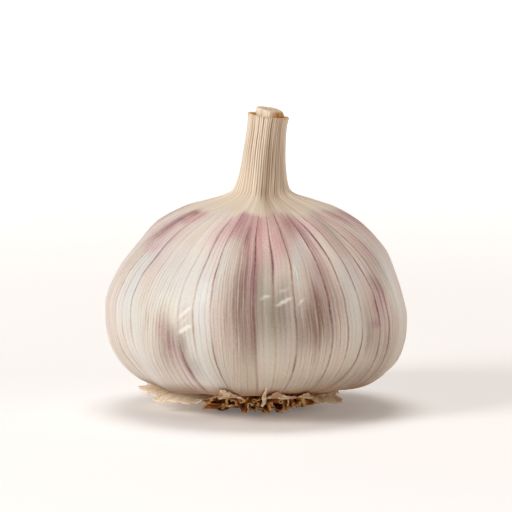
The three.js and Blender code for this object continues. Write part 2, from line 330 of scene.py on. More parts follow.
# Where the middle of the bulb lies at each height, as (height, x): the neck leans to the right.
LEAN = [
    (0, 0.5), (8, 0.7), (14, 0.2), (19, -0.1), (24, -0.4), (28, -0.1), (32, 0.55), (37, 0.4), (42, 0.9),
    (46, 1.25), (52, 1.7), (59, 2.5),
]
LEAN_BACK = 0.6
# Cloves as (azimuth of the valley that each starts at, its swelling, how far it hangs down).
CLOVES = [
    (-92, 0.1, 0.1), (-62, 0, 0.3), (-33, 0.2, 0), (-4, 0.25, -0.35), (24, 0.1, -0.05), (50, -0.1, 0.25),
    (80, 0.1, 0.6), (112, 0.2, 0.2), (142, -0.1, 0.1), (172, 0.2, 0.3), (204, 0, 0), (236, 0.15, 0.2),
]
VALLEY_DEPTH = {"base": 0.9, "belly": 0.45, "shoulder": 1.1}
CREST_SHARE = 0.75  # of a valley's depth that lies below the outline
CREST_ROUNDNESS = 0.75
CLOVE_RADII = (6, 16)  # the cloves show from the first radius outwards, and in full from the second
BASE_HEIGHT = 4.9
BELLY_HEIGHT = 18.3
SHOULDER_HEIGHT = 37
SHOULDER_TOP = 43.5
RIM_HEIGHT = 58.65
RIM_SLANT = {"front": 0.15, "right": 0.52, "from": 2.5}  # millimetres down, and how far below it starts
RIM_RAGGED = {"tooth": 0.16, "fibre": 0.1, "inside": 0.05}
# The rim's thin wall as (millimetres inwards, millimetres down), and the socket inside it.
RIM_WALL = [(0.07, -0.04), (0.2, 0.02), (0.33, 0), (0.46, 0.07), (0.6, 0.12), (0.66, 0.3), (0.7, 1.2)]
SOCKET = {"floor": 53, "radius": 3.3}

# Above the belly veins gather towards the front: degrees at each height, for a vein at the side.
GATHER_LEFT = [
    (26, 0), (32, -0.4), (34, 1.2), (36, 5), (38, 9), (40, 13), (42, 15.5), (45, 9), (50, 3), (58, 2),
]
GATHER_RIGHT = [
    (25, 0), (28, 2), (30, 4), (32, 5.8), (34, 7.3), (36, 9.2), (38, 12.6), (40, 19), (42, 22), (45, 12),
    (50, 5), (58, 3),
]
# Below the belly they turn as well: degrees near the base by azimuth, and how much of it at each height.
LOW_TURN = [
    (-180, 0), (-120, 2), (-85, 6), (-68, 5), (-62.4, 8), (-55, 6), (-50, 3), (-46, 0.6), (-41, -1),
    (-37, -1.2), (-33, 1), (-30, 3.4), (-24, 3.2), (-16.4, 2.5), (-12, -0.5), (-8, -2.8), (-4, -2), (0, -0.8),
    (7.3, -2.2), (15.3, -4.1), (22, -2.8), (29.8, -4.2), (35.5, -5), (40, -8), (44.4, -10.6), (48, -8),
    (54.3, -3.4), (60.3, -4), (68, -6), (80, -8), (120, -2), (180, 0),
]
LOW_SHARE = [(6, 1.35), (8, 1), (10, 0.7), (12, 0.45), (14, 0.27), (16, 0.14), (20, 0.03), (24, 0)]
# Places where the veins bend sideways: azimuth, half width, height, half height, degrees.
SWAYS = [(-7, 13, 33, 5, -2), (-41, 7, 31, 6, 2), (-41, 7, 14, 6, -1.6), (44, 4, 35, 5, -1), (-53, 4, 35, 4, 1)]

# Veins that the front shows: azimuth at the belly, and darkness near the base, at the belly and above it.
FRONT_VEINS = [
    (-86, 0.2, 0.3, 0.5), (-82, 0.2, 0.3, 0.5), (-78, 0.2, 0.2, 0.5), (-75.4, 0.2, 0.2, 0.6),
    (-73.4, 0.5, 0.25, 0.6), (-71.6, 0.2, 0.15, 0.6), (-69.6, 0.2, 0.15, 0.6), (-67.6, 0.6, 0.4, 0.65),
    (-65, 0.2, 0.15, 0.4), (-62.4, 0.7, 0.35, 0.4), (-58.4, 0.5, 0.1, 0.3), (-54.4, 0.1, 0.75, 1),
    (-51, 0.15, 0.1, 0.2), (-48.8, 0.3, 0.2, 0.1), (-47.2, 0.2, 0.3, 0.1), (-45.9, 0.35, 0.2, 0.5),
    (-44.6, 0.2, 0.35, 0.1), (-43.2, 0.5, 0.4, 0.15), (-41.9, 0.2, 0.25, 0.1), (-40.6, 0.5, 0.35, 0.15),
    (-39.2, 0.2, 0.35, 0.05), (-37.8, 0.4, 0.5, 0.45), (-36.2, 0.2, 0.35, 0.1), (-34.4, 0.4, 0.2, 0.1),
    (-32.6, 0.5, 0.1, 0.15), (-30, 1, 0.3, 0.4), (-27.2, 0.1, 0.1, 0.1), (-25.6, 0.1, 0.1, 0.05),
    (-23.4, 0.2, 0.6, 0.7), (-20.8, 0.1, 0.2, 0.2), (-18.4, 0.3, 0.35, 0.25), (-16.4, 0.85, 0.5, 0.95),
    (-15.2, 0.1, 0.4, 0.15), (-13.6, 0.25, 0.25, 0.35), (-12.4, 0.3, 0.5, 0.4), (-11.2, 0.1, 0.4, 0.4),
    (-10.2, 0.1, 0.5, 0.3), (-9.1, 0.25, 0.3, 0.35), (-8, 0.3, 0.55, 0.3), (-6.8, 0.1, 0.75, 0.45),
    (-5.7, 0.25, 0.35, 0.3), (-4.6, 0.05, 0.55, 0.35), (-3.5, 0.3, 0.35, 0.3), (-2.2, 0.1, 0.5, 0.4),
    (-0.2, 0.6, 0.9, 1), (2.8, 0.15, 0.3, 0.1), (5, 0.1, 0.1, 0.15), (7.4, 0.35, 0.45, 0.9),
    (9.4, 0.25, 0.2, 0.1), (11, 0.1, 0.15, 0.1), (13.2, 0.2, 0.25, 0.1), (15.4, 0.8, 0.85, 1),
    (17.4, 0.15, 0.3, 0.1), (18.8, 0.3, 0.25, 0.15), (20.4, 0.1, 0.4, 0.1), (21.9, 0.45, 0.4, 0.15),
    (23.2, 0.1, 0.75, 0.2), (24.8, 0.25, 0.8, 0.25), (26.2, 0.05, 0.35, 0.15), (27.6, 0.3, 0.55, 0.25),
    (29.8, 0.6, 1, 1), (31.6, 0.1, 0.55, 0.4), (33.3, 0.3, 0.5, 0.25), (35, 0.1, 0.3, 0.15),
    (36.7, 0.5, 0.7, 1), (38.6, 0.1, 0.3, 0.15), (40.6, 0.1, 0.1, 0.1), (44.4, 1, 0.7, 0.85),
    (47.4, 0.15, 0.1, 0.1), (50.2, 0.2, 0.45, 0.4), (52.4, 0.2, 0.2, 0.15), (54.4, 0.7, 0.95, 0.9),
    (57.6, 0.25, 0.4, 0.45), (60.4, 1, 0.8, 0.75), (63.4, 0.2, 0.35, 0.35), (65.6, 0.3, 0.3, 0.45),
    (68.4, 0.2, 0.35, 0.6), (72, 0.3, 0.3, 0.5), (76, 0.2, 0.35, 0.6), (80.5, 0.3, 0.3, 0.6),
]
VEIN_HEIGHTS = (10, 22, 34)
BACK_VEINS = {"from": 85, "to": 273, "spacing": 3.3, "jitter": 0.5}
VEIN_WIDTH = {"faint": 0.42, "strong": 0.7}  # degrees to where a vein has faded out
VEIN_RELIEF = 0.07
STRONG_VEIN = 0.6  # darker veins than this are wide
VEIN_FLANK = 0.45  # of a wide vein's width, where it has further mesh columns
VEIN_TOP = 41.3

# Mesh columns stand this many degrees apart at least and at most, and rows this many millimetres.
COLUMN_GAP = {"least": 0.2, "most": 1.05}
ROW_SPACING = {"under": 1.4, "skin": 0.56, "neck": 0.52}
FIRST_ROW = 1.5
UNDER_RADIUS = 20  # the underside's wider rows end here
FIBRE_RELIEF = 0.015
GRAIN_RADIUS = 30  # of the cylinder that the skin's textures are laid out on
UNEVENNESS = [(0.16, 14, 40), (0.03, 2.2, 50)]  # depth, size, seed
RELIEF_RADII = (4, 12)  # the relief shows from the first radius outwards

# Grooves of the gathered skin round the neck as (azimuth, size), and their spacing at the back.
FRONT_GROOVES = [
    (-84, 0.7), (-76, 0.6), (-67, 0.8), (-58, 0.6), (-49.5, 0.7), (-41, 0.85), (-33, 0.6), (-26, 0.95),
    (-19, 0.7), (-12.4, 1), (-6, 0.75), (0.7, 1), (6.5, 0.7), (12.7, 1.1), (19, 0.7), (25.2, 1), (30.8, 0.65),
    (36.4, 1), (42, 0.7), (47.6, 1.1), (54, 0.7), (60.5, 1), (67.6, 0.7), (75, 1), (83, 0.8),
]
BACK_GROOVES = {"from": 88, "to": 272, "spacing": 8, "jitter": 0.8}
GROOVE_WIDTH = 1.4  # degrees
GROOVE_FOOT = 41.5  # the lowest of them starts here
GROOVE_DEPTH = 0.21
CREST_LIFT = 0.25  # of a groove's depth by which the crests beside it stand out
NECK_START = (40.6, 43.8)  # the skin turns into neck between these heights

# Creases in the outermost skin, each as its two ends (azimuth, height) and its height in millimetres.
CREASES = [
    ((-30.4, 18.5), (-23.6, 20.4), 0.22), ((-30.2, 21.2), (-23.4, 24), 0.17),
    ((-29.8, 19.7), (-24.6, 22.2), 0.1), ((-29.4, 23.6), (-25, 26), 0.06), ((-35, 24.6), (-30.8, 25.2), 0.04),
    ((-35.2, 23.4), (-30.8, 24), 0.04), ((-35, 22.3), (-30.8, 22.9), 0.05),
    ((-34.6, 21.3), (-30.6, 21.9), 0.05), ((-34.2, 20.3), (-30.6, 20.9), 0.06), ((8, 24.2), (15.2, 25.8), 0.18),
    ((2, 25.4), (6.8, 26.2), 0.12), ((8.6, 26.6), (14.8, 27.5), 0.1), ((16.6, 24.2), (20.4, 25.6), 0.13),
    ((16.6, 32.4), (18.8, 29), 0.1), ((14.6, 33.4), (16.2, 27.6), 0.05), ((112, 24), (118, 26), 0.1),
    ((113, 22), (118, 23.4), 0.08), ((160, 30), (165, 28.4), 0.09), ((197, 20), (203, 22), 0.1),
    ((198, 17.5), (203, 19), 0.08), ((-118, 26), (-113, 24.6), 0.1), ((-106, 20), (-101, 21.6), 0.08),
]
CREASE_WIDTH = 0.36
CREASE_BOW = 0.12
CREASE_RADIUS = 29  # the skin's radius where they lie

# Soft patches of colour on the skin as (azimuth at the belly, height, half width, half height, strength).
PATCHES = {
    "flush": [
        (2, 38.2, 13, 3, 1), (-12, 38.8, 8, 2.4, 1), (-20, 38.6, 6, 3, 0.6), (25, 38.7, 12, 2.4, 0.85),
        (38, 38.6, 7, 1.9, 0.65), (49, 38.2, 8, 1.6, 0.4), (-2, 34.5, 5, 3.4, 0.75), (7.5, 34.6, 6, 4.2, 0.65),
        (14.6, 36, 5, 3.6, 0.75), (-28, 37.5, 6, 3, 0.4), (-62, 39.8, 12, 1.5, 0.95), (-70, 37, 7, 3, 0.55),
        (-56, 36.6, 8, 2.4, 0.15), (2.5, 32.6, 3.6, 3, 0.15), (30, 32.6, 5, 3, 0.35), (-63, 33.6, 6, 1.2, 0.4),
        (-37, 19.6, 3, 2.6, 0.55), (-34, 15, 4, 3.5, 0.4), (-22, 34.4, 6, 3, 0.15), (62, 39.4, 16, 1.6, 0.3),
        (82, 39, 9, 2, 0.7), (60, 33, 20, 6, 0.2), (48, 36, 10, 2.6, 0.3), (93, 30, 11, 11, 0.24),
        (35, 25, 7, 7, 0.22), (57, 23, 6, 4.4, 0.5), (68, 35, 5, 3, 0.3), (64, 19, 5, 4, 0.25),
        (104, 37, 12, 3.6, 0.7), (126, 37.6, 11, 4, 0.8), (158, 37, 13, 4, 0.85), (190, 37.8, 12, 3.4, 0.8),
        (222, 37, 12, 4, 0.75), (250, 37.4, 12, 4, 0.7), (140, 31, 6, 5, 0.4), (205, 32, 6, 5, 0.4),
        (236, 20, 4, 5, 0.4),
    ],
    "purple": [
        (-76, 39.4, 1.2, 1.6, 0.6), (-71.6, 39.2, 0.8, 2, 0.7), (-67.6, 38.6, 0.7, 2.6, 0.7),
        (-73.4, 36.6, 0.7, 2.4, 0.6), (-8.4, 37.1, 3.4, 1.1, 1), (-5.8, 36.5, 1.3, 1.4, 1),
        (-11, 38.9, 1, 1.6, 0.85), (-13.4, 39.6, 3.4, 1, 0.35), (-10.4, 38.4, 5, 1.3, 0.5),
        (-16.6, 38.2, 1.4, 2.4, 0.8), (-23.8, 37.4, 1.2, 2.6, 0.5), (-1.6, 30.6, 2.6, 3.6, 1),
        (-0.4, 28, 1.5, 4.5, 0.8), (-2.8, 27.4, 2, 3, 0.5), (0.4, 38, 1.2, 1.6, 0.5),
        (7.2, 32.4, 0.9, 3.6, 0.7), (15.2, 37, 1.2, 3.2, 0.9), (25.2, 38.9, 3.4, 0.9, 0.35),
        (30, 38.2, 2.2, 1.6, 0.5), (34, 38, 3, 1.4, 0.3), (31.5, 36.8, 2, 1.8, 0.7),
        (36.6, 36.4, 1.4, 3.4, 0.6), (-67, 40.2, 6.5, 0.6, 1), (-69, 38.7, 4.5, 0.35, 0.7),
        (-72.6, 38.4, 3, 1.6, 0.65), (30.5, 30.4, 3.6, 3.2, 0.25), (32.4, 34.8, 2.6, 1.8, 0.5),
        (6.6, 29.8, 1.6, 4, 0.3), (-2, 35.6, 5, 2.6, 0.35), (-9, 37.4, 4, 2, 0.45), (-71.4, 36, 2.2, 1.8, 0.4),
        (-66.6, 37, 1, 2.4, 0.4), (-60, 38.6, 4, 0.6, 0.35), (-54.4, 31.4, 1.3, 2.6, 1),
        (-53.4, 35.4, 1.2, 2, 0.5), (55.4, 22.8, 3, 3, 0.65), (59.4, 26, 3, 3, 0.55), (52, 19.4, 4, 0.9, 0.5),
        (-30.9, 12.4, 1.2, 4.6, 0.35), (-31.2, 10, 1.8, 3.4, 0.4), (-33.6, 16.2, 1.8, 2.2, 0.4),
        (29.8, 26, 1, 7, 0.7), (27.4, 26, 2, 4, 0.35), (70, 39, 1.2, 2, 0.6), (76, 39, 1, 2, 0.6),
        (83, 38.8, 1.4, 1.8, 0.6), (104, 38, 5, 2, 0.6), (131, 34, 3, 6, 0.7), (163, 38.4, 5, 2, 0.7),
        (186, 31, 3, 7, 0.65), (217, 37.4, 5, 2.4, 0.65), (243, 38.4, 5, 2, 0.6), (149, 28, 2, 5, 0.5),
        (208, 24, 2, 5, 0.5), (251, 24, 2, 5, 0.4),
    ],
    # Brown blotches of the skin. The wide, low patches near the base, at heights of 7 to 12, are painted shade
    # low down.
    "brown": [
        (-4.6, 21, 5, 8, 0.85), (-7, 26, 3.8, 6.5, 0.64), (-1.2, 21, 2, 7.5, 0.8), (-12, 20, 3.4, 8, 0.15),
        (-2.6, 27.8, 3, 5.4, 0.45), (-8, 34.6, 4, 2, 0.2), (30.5, 30, 4.5, 3.4, 0.38), (32.8, 25, 4.2, 4, 0.5),
        (30.4, 19.4, 3.2, 4, 0.34), (-57, 11.6, 10, 2, 0.12), (45, 9.6, 11, 3, 0.28), (24, 8.8, 27, 2, 0.2),
        (-66, 13, 6, 4, 0.15), (22.6, 20.8, 4.8, 5, 1), (24.8, 23.2, 2.6, 5.2, 0.9), (27.8, 22, 2.4, 5.6, 0.65),
        (20, 18.4, 3, 3, 0.55), (-35.4, 16, 3, 6, 0.5), (-40, 12, 5, 5, 0.15), (56, 15.6, 7, 4.4, 0.4),
        (62, 12, 7, 4.4, 0.35), (48.6, 16.4, 2, 3, 0.5), (52, 8.6, 24, 2.6, 0.45), (34, 7.4, 16, 1.6, 0.45),
        (-20, 7, 30, 1.2, 0.3), (53.4, 35, 1.6, 2.4, 0.2), (118, 21, 5, 8, 0.7), (150, 24, 5, 8, 0.75),
        (178, 20, 4.5, 9, 0.75), (208, 22, 5, 8, 0.75), (236, 18, 5, 8, 0.65),
    ],
    "lilac": [
        (-50, 32, 6, 5, 0.35), (-62, 35.4, 9, 3.2, 0.5), (-78, 36.6, 8, 3, 0.5), (-20, 31.6, 4.4, 3, 0.1),
        (-13.6, 32, 2.4, 3, 0.1), (-58, 28, 8, 4, 0.1), (70, 33, 9, 5, 0.25), (11, 33, 4, 4, 0.15),
        (112, 34, 9, 4, 0.4), (152, 33, 10, 4, 0.45), (196, 34, 10, 4, 0.45), (232, 33, 10, 4, 0.5),
        (262, 34, 10, 4, 0.45),
    ],
    # Grey of the thin skin, partly painted shade: in the valley between the cloves near -30 degrees and over
    # the middle of the front.
    "grey_and_painted_shade": [
        (7.4, 22.8, 8, 5.6, 1), (16.6, 20, 2.4, 5, 0.6), (13, 27.6, 4, 2.6, 0.35), (7.4, 17, 8, 4, 0.2),
        (48.5, 20, 3.2, 4.4, 0.4), (57.6, 26.8, 3, 2, 0.6), (66, 31, 7, 5, 0.3), (-28.4, 16.6, 1.5, 1.8, 0.7),
        (-33.6, 18, 2, 2.6, 0.5), (-16, 12, 6, 6, 0.25), (-30.4, 16, 2.8, 4.4, 0.68), (-27.4, 12.2, 4, 3, 0.58),
        (-27, 20.4, 2.4, 4.6, 0.28), (1.6, 24.5, 2.6, 7, 0.65), (3.6, 30, 3.4, 4.6, 0.55),
        (145, 22, 3.5, 6, 0.6), (200, 20, 3.5, 6, 0.7), (230, 26, 3, 5, 0.5),
    ],
    "pale": [
        (-50, 11.6, 12, 4.6, 0.5), (-58, 26, 6, 6.5, 0.95), (-64.5, 24, 3.4, 8, 0.55), (-50, 17, 6, 7, 0.35),
        (-24, 13.4, 3.4, 6.4, 0.8), (-28.4, 29, 5, 6, 0.8), (-20.4, 28, 3.6, 8, 0.8), (-20, 19, 3.4, 8, 0.85),
        (-22, 10.6, 5, 4, 0.3), (-54, 33, 8, 2.6, 0.5), (-62, 30.4, 5, 2.4, 0.5), (-14, 12.4, 3, 2.6, 0.5),
        (3.4, 12.6, 3.6, 4.4, 0.4), (10.8, 12.6, 3.6, 4.4, 0.4), (24.5, 33.6, 6, 2.2, 0.5),
        (18.4, 31.6, 2.6, 3.4, 0.85), (41, 24, 3.8, 11, 0.6), (40.6, 15, 3, 5, 0.5), (47, 29, 3, 5, 0.5),
        (-40, 29, 6, 6, 0.6), (-13.6, 31, 2.6, 5, 0.75), (75, 25, 6, 6, 0.3), (100, 18, 6, 8, 0.6),
        (137, 16, 5, 8, 0.7), (168, 28, 5, 7, 0.7), (195, 14, 5, 7, 0.85), (226, 22, 5, 8, 0.7),
        (256, 24, 5, 8, 0.5),
    ],
    "gold": [
        (7.4, 22, 1, 6, 0.9), (15.4, 29, 1, 3, 0.9), (44.5, 24, 1, 5, 0.5), (-23.4, 24, 1, 5, 0.6),
        (-15.4, 22, 2.4, 7, 0.6), (-11, 22, 3, 10, 0.7), (-42, 20, 8, 10, 0.5), (-18.4, 18, 1, 8, 0.7),
        (20, 15, 5, 5, 0.5), (7.4, 12, 2.4, 5, 0.6), (-55.2, 22, 1, 4, 0.5),
    ],
    "lined": [
        (-7.6, 23, 5.6, 12, 1), (-42, 17, 7, 9, 0.9), (22.6, 17, 7, 9, 0.85), (33, 21, 4, 9, 0.55),
        (62, 18, 9, 11, 0.5), (-14, 14, 4, 8, 0.5), (-73, 20, 8, 12, 0.4), (118, 20, 8, 11, 0.8),
        (150, 20, 7, 11, 0.9), (180, 18, 8, 11, 0.9), (208, 20, 7, 11, 0.9), (236, 18, 8, 11, 0.8),
        (90, 20, 6, 11, 0.5),
    ],
    # Painted shade on the neck and the collar: most on the right and round the neck's foot, some behind.
    "painted_neck_shade": [
        (12, 48, 20, 9, 0.8), (14, 43.8, 20, 1.8, 0.6), (40, 42, 16, 2, 0.25), (34, 53, 20, 9, 0.35),
        (62, 48, 20, 8, 0.3), (150, 50, 20, 8, 0.4), (215, 48, 18, 8, 0.45), (-48, 52, 5, 6, 0.2),
    ],
}
FLUSH_TOP = (39.9, 41)
FLUSH_RISE = {"azimuth": 32, "half_width": 12, "rise": 0.5}  # the pink reaches higher here
COLLAR = {"foot": (39.9, 41.1), "top": (43, 47), "radius": 14}
COLLAR_STRAY = (0.4, 0.9)  # how far the collar's edge strays up and down, in front and behind
# Low down the skin is painted darker and browner, as painted shade: least and most, the azimuths between which
# it grows and fades, heights.
LOW_PAINTED_SHADE = {"share": (0.12, 0.8), "grows": (-30, 2), "fades": (100, 180), "heights": (8, 27)}


def outline_rows():
    """Rows of the skin as (radius, height, length along the outline), closer together where they show."""
    curve = catmull_rom(OUTLINE, 60)
    length = arc_length(curve)
    under = length[np.argmax(curve[:, 0] > UNDER_RADIUS)]
    neck = length[np.argmax(curve[:, 1] > SHOULDER_TOP)]
    along = np.concatenate([
        np.arange(FIRST_ROW, under, ROW_SPACING["under"]),
        np.arange(under, neck, ROW_SPACING["skin"]),
        np.linspace(neck, length[-1], round((length[-1] - neck) / ROW_SPACING["neck"])),
    ])
    radius, height = at_lengths(curve, along).T
    return radius[:, None], height[:, None], along[:, None]


def round_the_back(behind, series):
    """Numbers and azimuths of things that stand at about even distances round the back."""
    k = np.arange(round((behind["to"] - behind["from"]) / behind["spacing"]))
    return k, behind["from"] + (k + 0.5 + behind["jitter"] * (draw(k, series) - 0.5)) * behind["spacing"]


def all_veins():
    """Azimuths and darkness of the veins all round."""
    k, azimuth = round_the_back(BACK_VEINS, 1)
    darkness = 0.25 + 0.65 * draw(k, 2)[:, None] ** 2.2 * (0.6 + 0.5 * draw(3 * k[:, None] + np.arange(3), 3))
    front = np.array(FRONT_VEINS)
    return np.append(front[:, 0], azimuth), np.vstack([front[:, 1:], darkness])


def vein_width(darkness):
    return np.where(darkness.max(1) >= STRONG_VEIN, VEIN_WIDTH["strong"], VEIN_WIDTH["faint"])


def column_azimuths():
    """Mesh columns: one along each vein, some beside it, and others where the gaps are wide."""
    azimuth, darkness = all_veins()
    width = vein_width(darkness)
    strong = width == VEIN_WIDTH["strong"]
    beside = [azimuth + side * width for side in (-1, 0, 1)]
    beside += [azimuth[strong] + side * VEIN_FLANK * width[strong] for side in (-1, 1)]
    columns = np.sort(np.concatenate(beside))
    columns = columns[np.append(True, np.diff(columns) > COLUMN_GAP["least"])]
    gaps = np.diff(np.append(columns, columns[0] + 360))
    filled = [
        np.linspace(start, start + gap, math.ceil(gap / COLUMN_GAP["most"]), endpoint=False)
        for start, gap in zip(columns, gaps)
    ]
    return np.concatenate(filled)[None, :]


def around(azimuth, radius, height):
    """Points at these azimuths (in radians), radii and heights round the bulb's leaning middle line."""
    x = interpolate(LEAN, height) + radius * np.sin(azimuth)
    y = LEAN_BACK * smoothstep(height, BELLY_HEIGHT, RIM_HEIGHT) - radius * np.cos(azimuth)
    return np.stack(np.broadcast_arrays(x, y, height), -1)


def swelling(azimuth, radius, height):
    """How far the cloves push the skin outwards, and how far it hangs down."""
    valleys, swell, droop = np.array([*CLOVES, (CLOVES[0][0] + 360, 0, 0)]).T
    degrees = (np.degrees(azimuth) - valleys[0]) % 360 + valleys[0]
    k = np.clip(np.searchsorted(valleys, degrees, side="right") - 1, 0, len(CLOVES) - 1)
    across = (degrees - valleys[k]) / (valleys[k + 1] - valleys[k])
    crown = ((1 - np.cos(2 * math.pi * across)) / 2) ** CREST_ROUNDNESS
    base, belly, shoulder = VALLEY_DEPTH.values()
    rise = smoothstep(height, BASE_HEIGHT, BELLY_HEIGHT)
    high = lerp(belly, shoulder, smoothstep(height, BELLY_HEIGHT, SHOULDER_HEIGHT))
    high = high * (1 - smoothstep(height, SHOULDER_HEIGHT, SHOULDER_TOP))
    valley = np.where(height < BELLY_HEIGHT, lerp(base, belly, rise), high)
    on_bulb = smoothstep(radius, *CLOVE_RADII)
    out = (valley * (crown - CREST_SHARE) + swell[k] * crown) * on_bulb
    return out, droop[k] * crown * on_bulb * (1 - rise)


def drawn_azimuth(columns, height):
    """The azimuth at each height of lines that stand at these azimuths at the belly, in degrees."""
    sideways = np.sin(np.radians(columns))
    left, right = interpolate(GATHER_LEFT, height), interpolate(GATHER_RIGHT, height)
    front = turn(columns)
    drawn = columns - np.where(sideways < 0, left, right) * sideways
    drawn = drawn + interpolate(LOW_TURN, front) * interpolate(LOW_SHARE, height)
    for azimuth, half_width, middle, half_height, degrees in SWAYS:
        beside, rise = (front - azimuth) / half_width, (height - middle) / half_height
        drawn = drawn + degrees * np.exp(-(beside**2) - rise**2)
    return drawn


def vein_pattern(columns, height):
    """Darkness of the veins on the grid: they fade into the neck and vary along their way."""
    azimuth, darkness = all_veins()
    profile = np.clip(1 - np.abs(turn(columns.T, azimuth)) / vein_width(darkness), 0, 1)
    k = np.arange(len(azimuth))
    low, middle, high = darkness.T
    base, belly, above = VEIN_HEIGHTS
    along = np.where(
        height < belly,
        lerp(low, middle, smoothstep(height, base, belly)),
        lerp(middle, high, smoothstep(height, belly, above)),
    )
    reach = 1 - smoothstep(height, VEIN_TOP - 0.8 - draw(k, 6), VEIN_TOP)
    breathe = 0.9 + 0.2 * np.sin(height * (0.3 + 0.5 * draw(k, 7)) + 6 * draw(k, 8))
    return (along * reach * breathe) @ profile.T


def colour_masks(columns, height):
    """How much of each kind of colour lies on the grid."""
    masks = {}
    for kind, patches in PATCHES.items():
        clear = np.ones(np.broadcast_shapes(columns.shape, height.shape))
        for azimuth, middle, half_width, half_height, strength in patches:
            apart, rise = turn(columns, azimuth) / half_width, (height - middle) / half_height
            clear = clear * (1 - strength * np.exp(-((apart**2 + rise**2) ** 1.25)))
        masks[kind] = 1 - clear

    # The pink ends and the cream collar starts along a ragged line.
    angle = np.radians(columns)
    ring = COLLAR["radius"] * np.stack([np.cos(angle), np.sin(angle), 0 * angle], -1)
    stray = lerp(*COLLAR_STRAY, smoothstep(np.cos(angle), 0.1, -0.7))
    ragged = height + stray * (wander(ring, 3.5, 160) + 0.5 * wander(ring, 1, 170))
    azimuth, half_width, rise = FLUSH_RISE.values()
    ragged = ragged - rise * np.exp(-((turn(columns, azimuth) / half_width) ** 2))
    for kind in ("flush", "purple"):
        masks[kind] = masks[kind] * (1 - smoothstep(ragged, *FLUSH_TOP))
    masks["collar"] = smoothstep(ragged, *COLLAR["foot"]) * (1 - smoothstep(height, *COLLAR["top"]))

    # Painted shade low down, strongest from the front round the right side.
    share, grows, fades, heights = LOW_PAINTED_SHADE.values()
    side = smoothstep(turn(columns), *grows) * (1 - smoothstep(turn(columns), *fades))
    masks["low"] = lerp(*share, side) * (1 - smoothstep(height, *heights))
    return masks


def crease_relief(columns, height):
    """Height of the small creases on the grid."""
    relief = np.zeros(np.broadcast_shapes(columns.shape, height.shape))
    scale = math.radians(1) * CREASE_RADIUS
    for (a0, z0), (a1, z1), size in CREASES:
        x = turn(columns, a0) * scale
        y = height - z0
        dx, dy = (a1 - a0) * scale, z1 - z0
        share = np.clip((x * dx + y * dy) / (dx * dx + dy * dy), 0, 1)
        bow = CREASE_BOW * np.sin(math.pi * share)
        distance = np.hypot(x - share * dx, y - share * dy - bow)
        taper = np.sin(math.pi * np.clip(share, 0.06, 0.94)) ** 0.6
        relief = relief + size * taper * np.exp(-((distance / CREASE_WIDTH) ** 2))
    return relief


def groove_pattern(columns, height):
    """Depth of the neck's grooves on the grid, from 0 on a crest."""
    k, behind = round_the_back(BACK_GROOVES, 11)
    front = np.array(FRONT_GROOVES)
    azimuth = np.append(front[:, 0], behind)
    size = np.append(front[:, 1], 0.3 + 0.9 * draw(k, 12) ** 1.4)
    profile = np.exp(-((turn(columns.T, azimuth) / GROOVE_WIDTH) ** 2))
    n = np.arange(len(azimuth))
    along = 0.8 + 0.3 * np.sin(height * (0.25 + 0.3 * draw(n, 13)) + 6 * draw(n, 17))
    foot = GROOVE_FOOT + draw(n, 18)
    return (size * along * smoothstep(height, foot, foot + 2)) @ profile.T


def normals_of(points):
    """Outward normals of a closed grid of points."""
    return unit(np.cross(np.roll(points, -1, 1) - np.roll(points, 1, 1), np.gradient(points, axis=0)))


def cut_rim(points, azimuth, height, fibre):
    """Slants the top row, makes it a little ragged, and adds rows for the wall and the socket inside it."""
    top = azimuth[-1]
    slant = RIM_SLANT["front"] * np.cos(azimuth) + RIM_SLANT["right"] * np.sin(azimuth)
    points[..., 2] -= slant * smoothstep(height, RIM_HEIGHT - RIM_SLANT["from"], RIM_HEIGHT)
    rim = points[-1]
    k = np.arange(len(rim))
    rim[:, 2] += RIM_RAGGED["tooth"] * (draw(k // 3, 15) - 0.5) + RIM_RAGGED["fibre"] * fibre
    middle = around(0 * top, 0, RIM_HEIGHT)[:, :2]
    inner = []
    for inset, drop in RIM_WALL:
        share = inset / np.linalg.norm(rim[:, :2] - middle, axis=1)
        row = rim.copy()
        row[:, :2] += (middle - row[:, :2]) * share[:, None]
        row[:, 2] -= drop + RIM_RAGGED["inside"] * draw(k + len(inner) * 991, 16)
        inner.append(row)
    floor = around(top, SOCKET["radius"], SOCKET["floor"] + 0 * top)
    return np.concatenate([points, np.stack(inner), floor[None]])


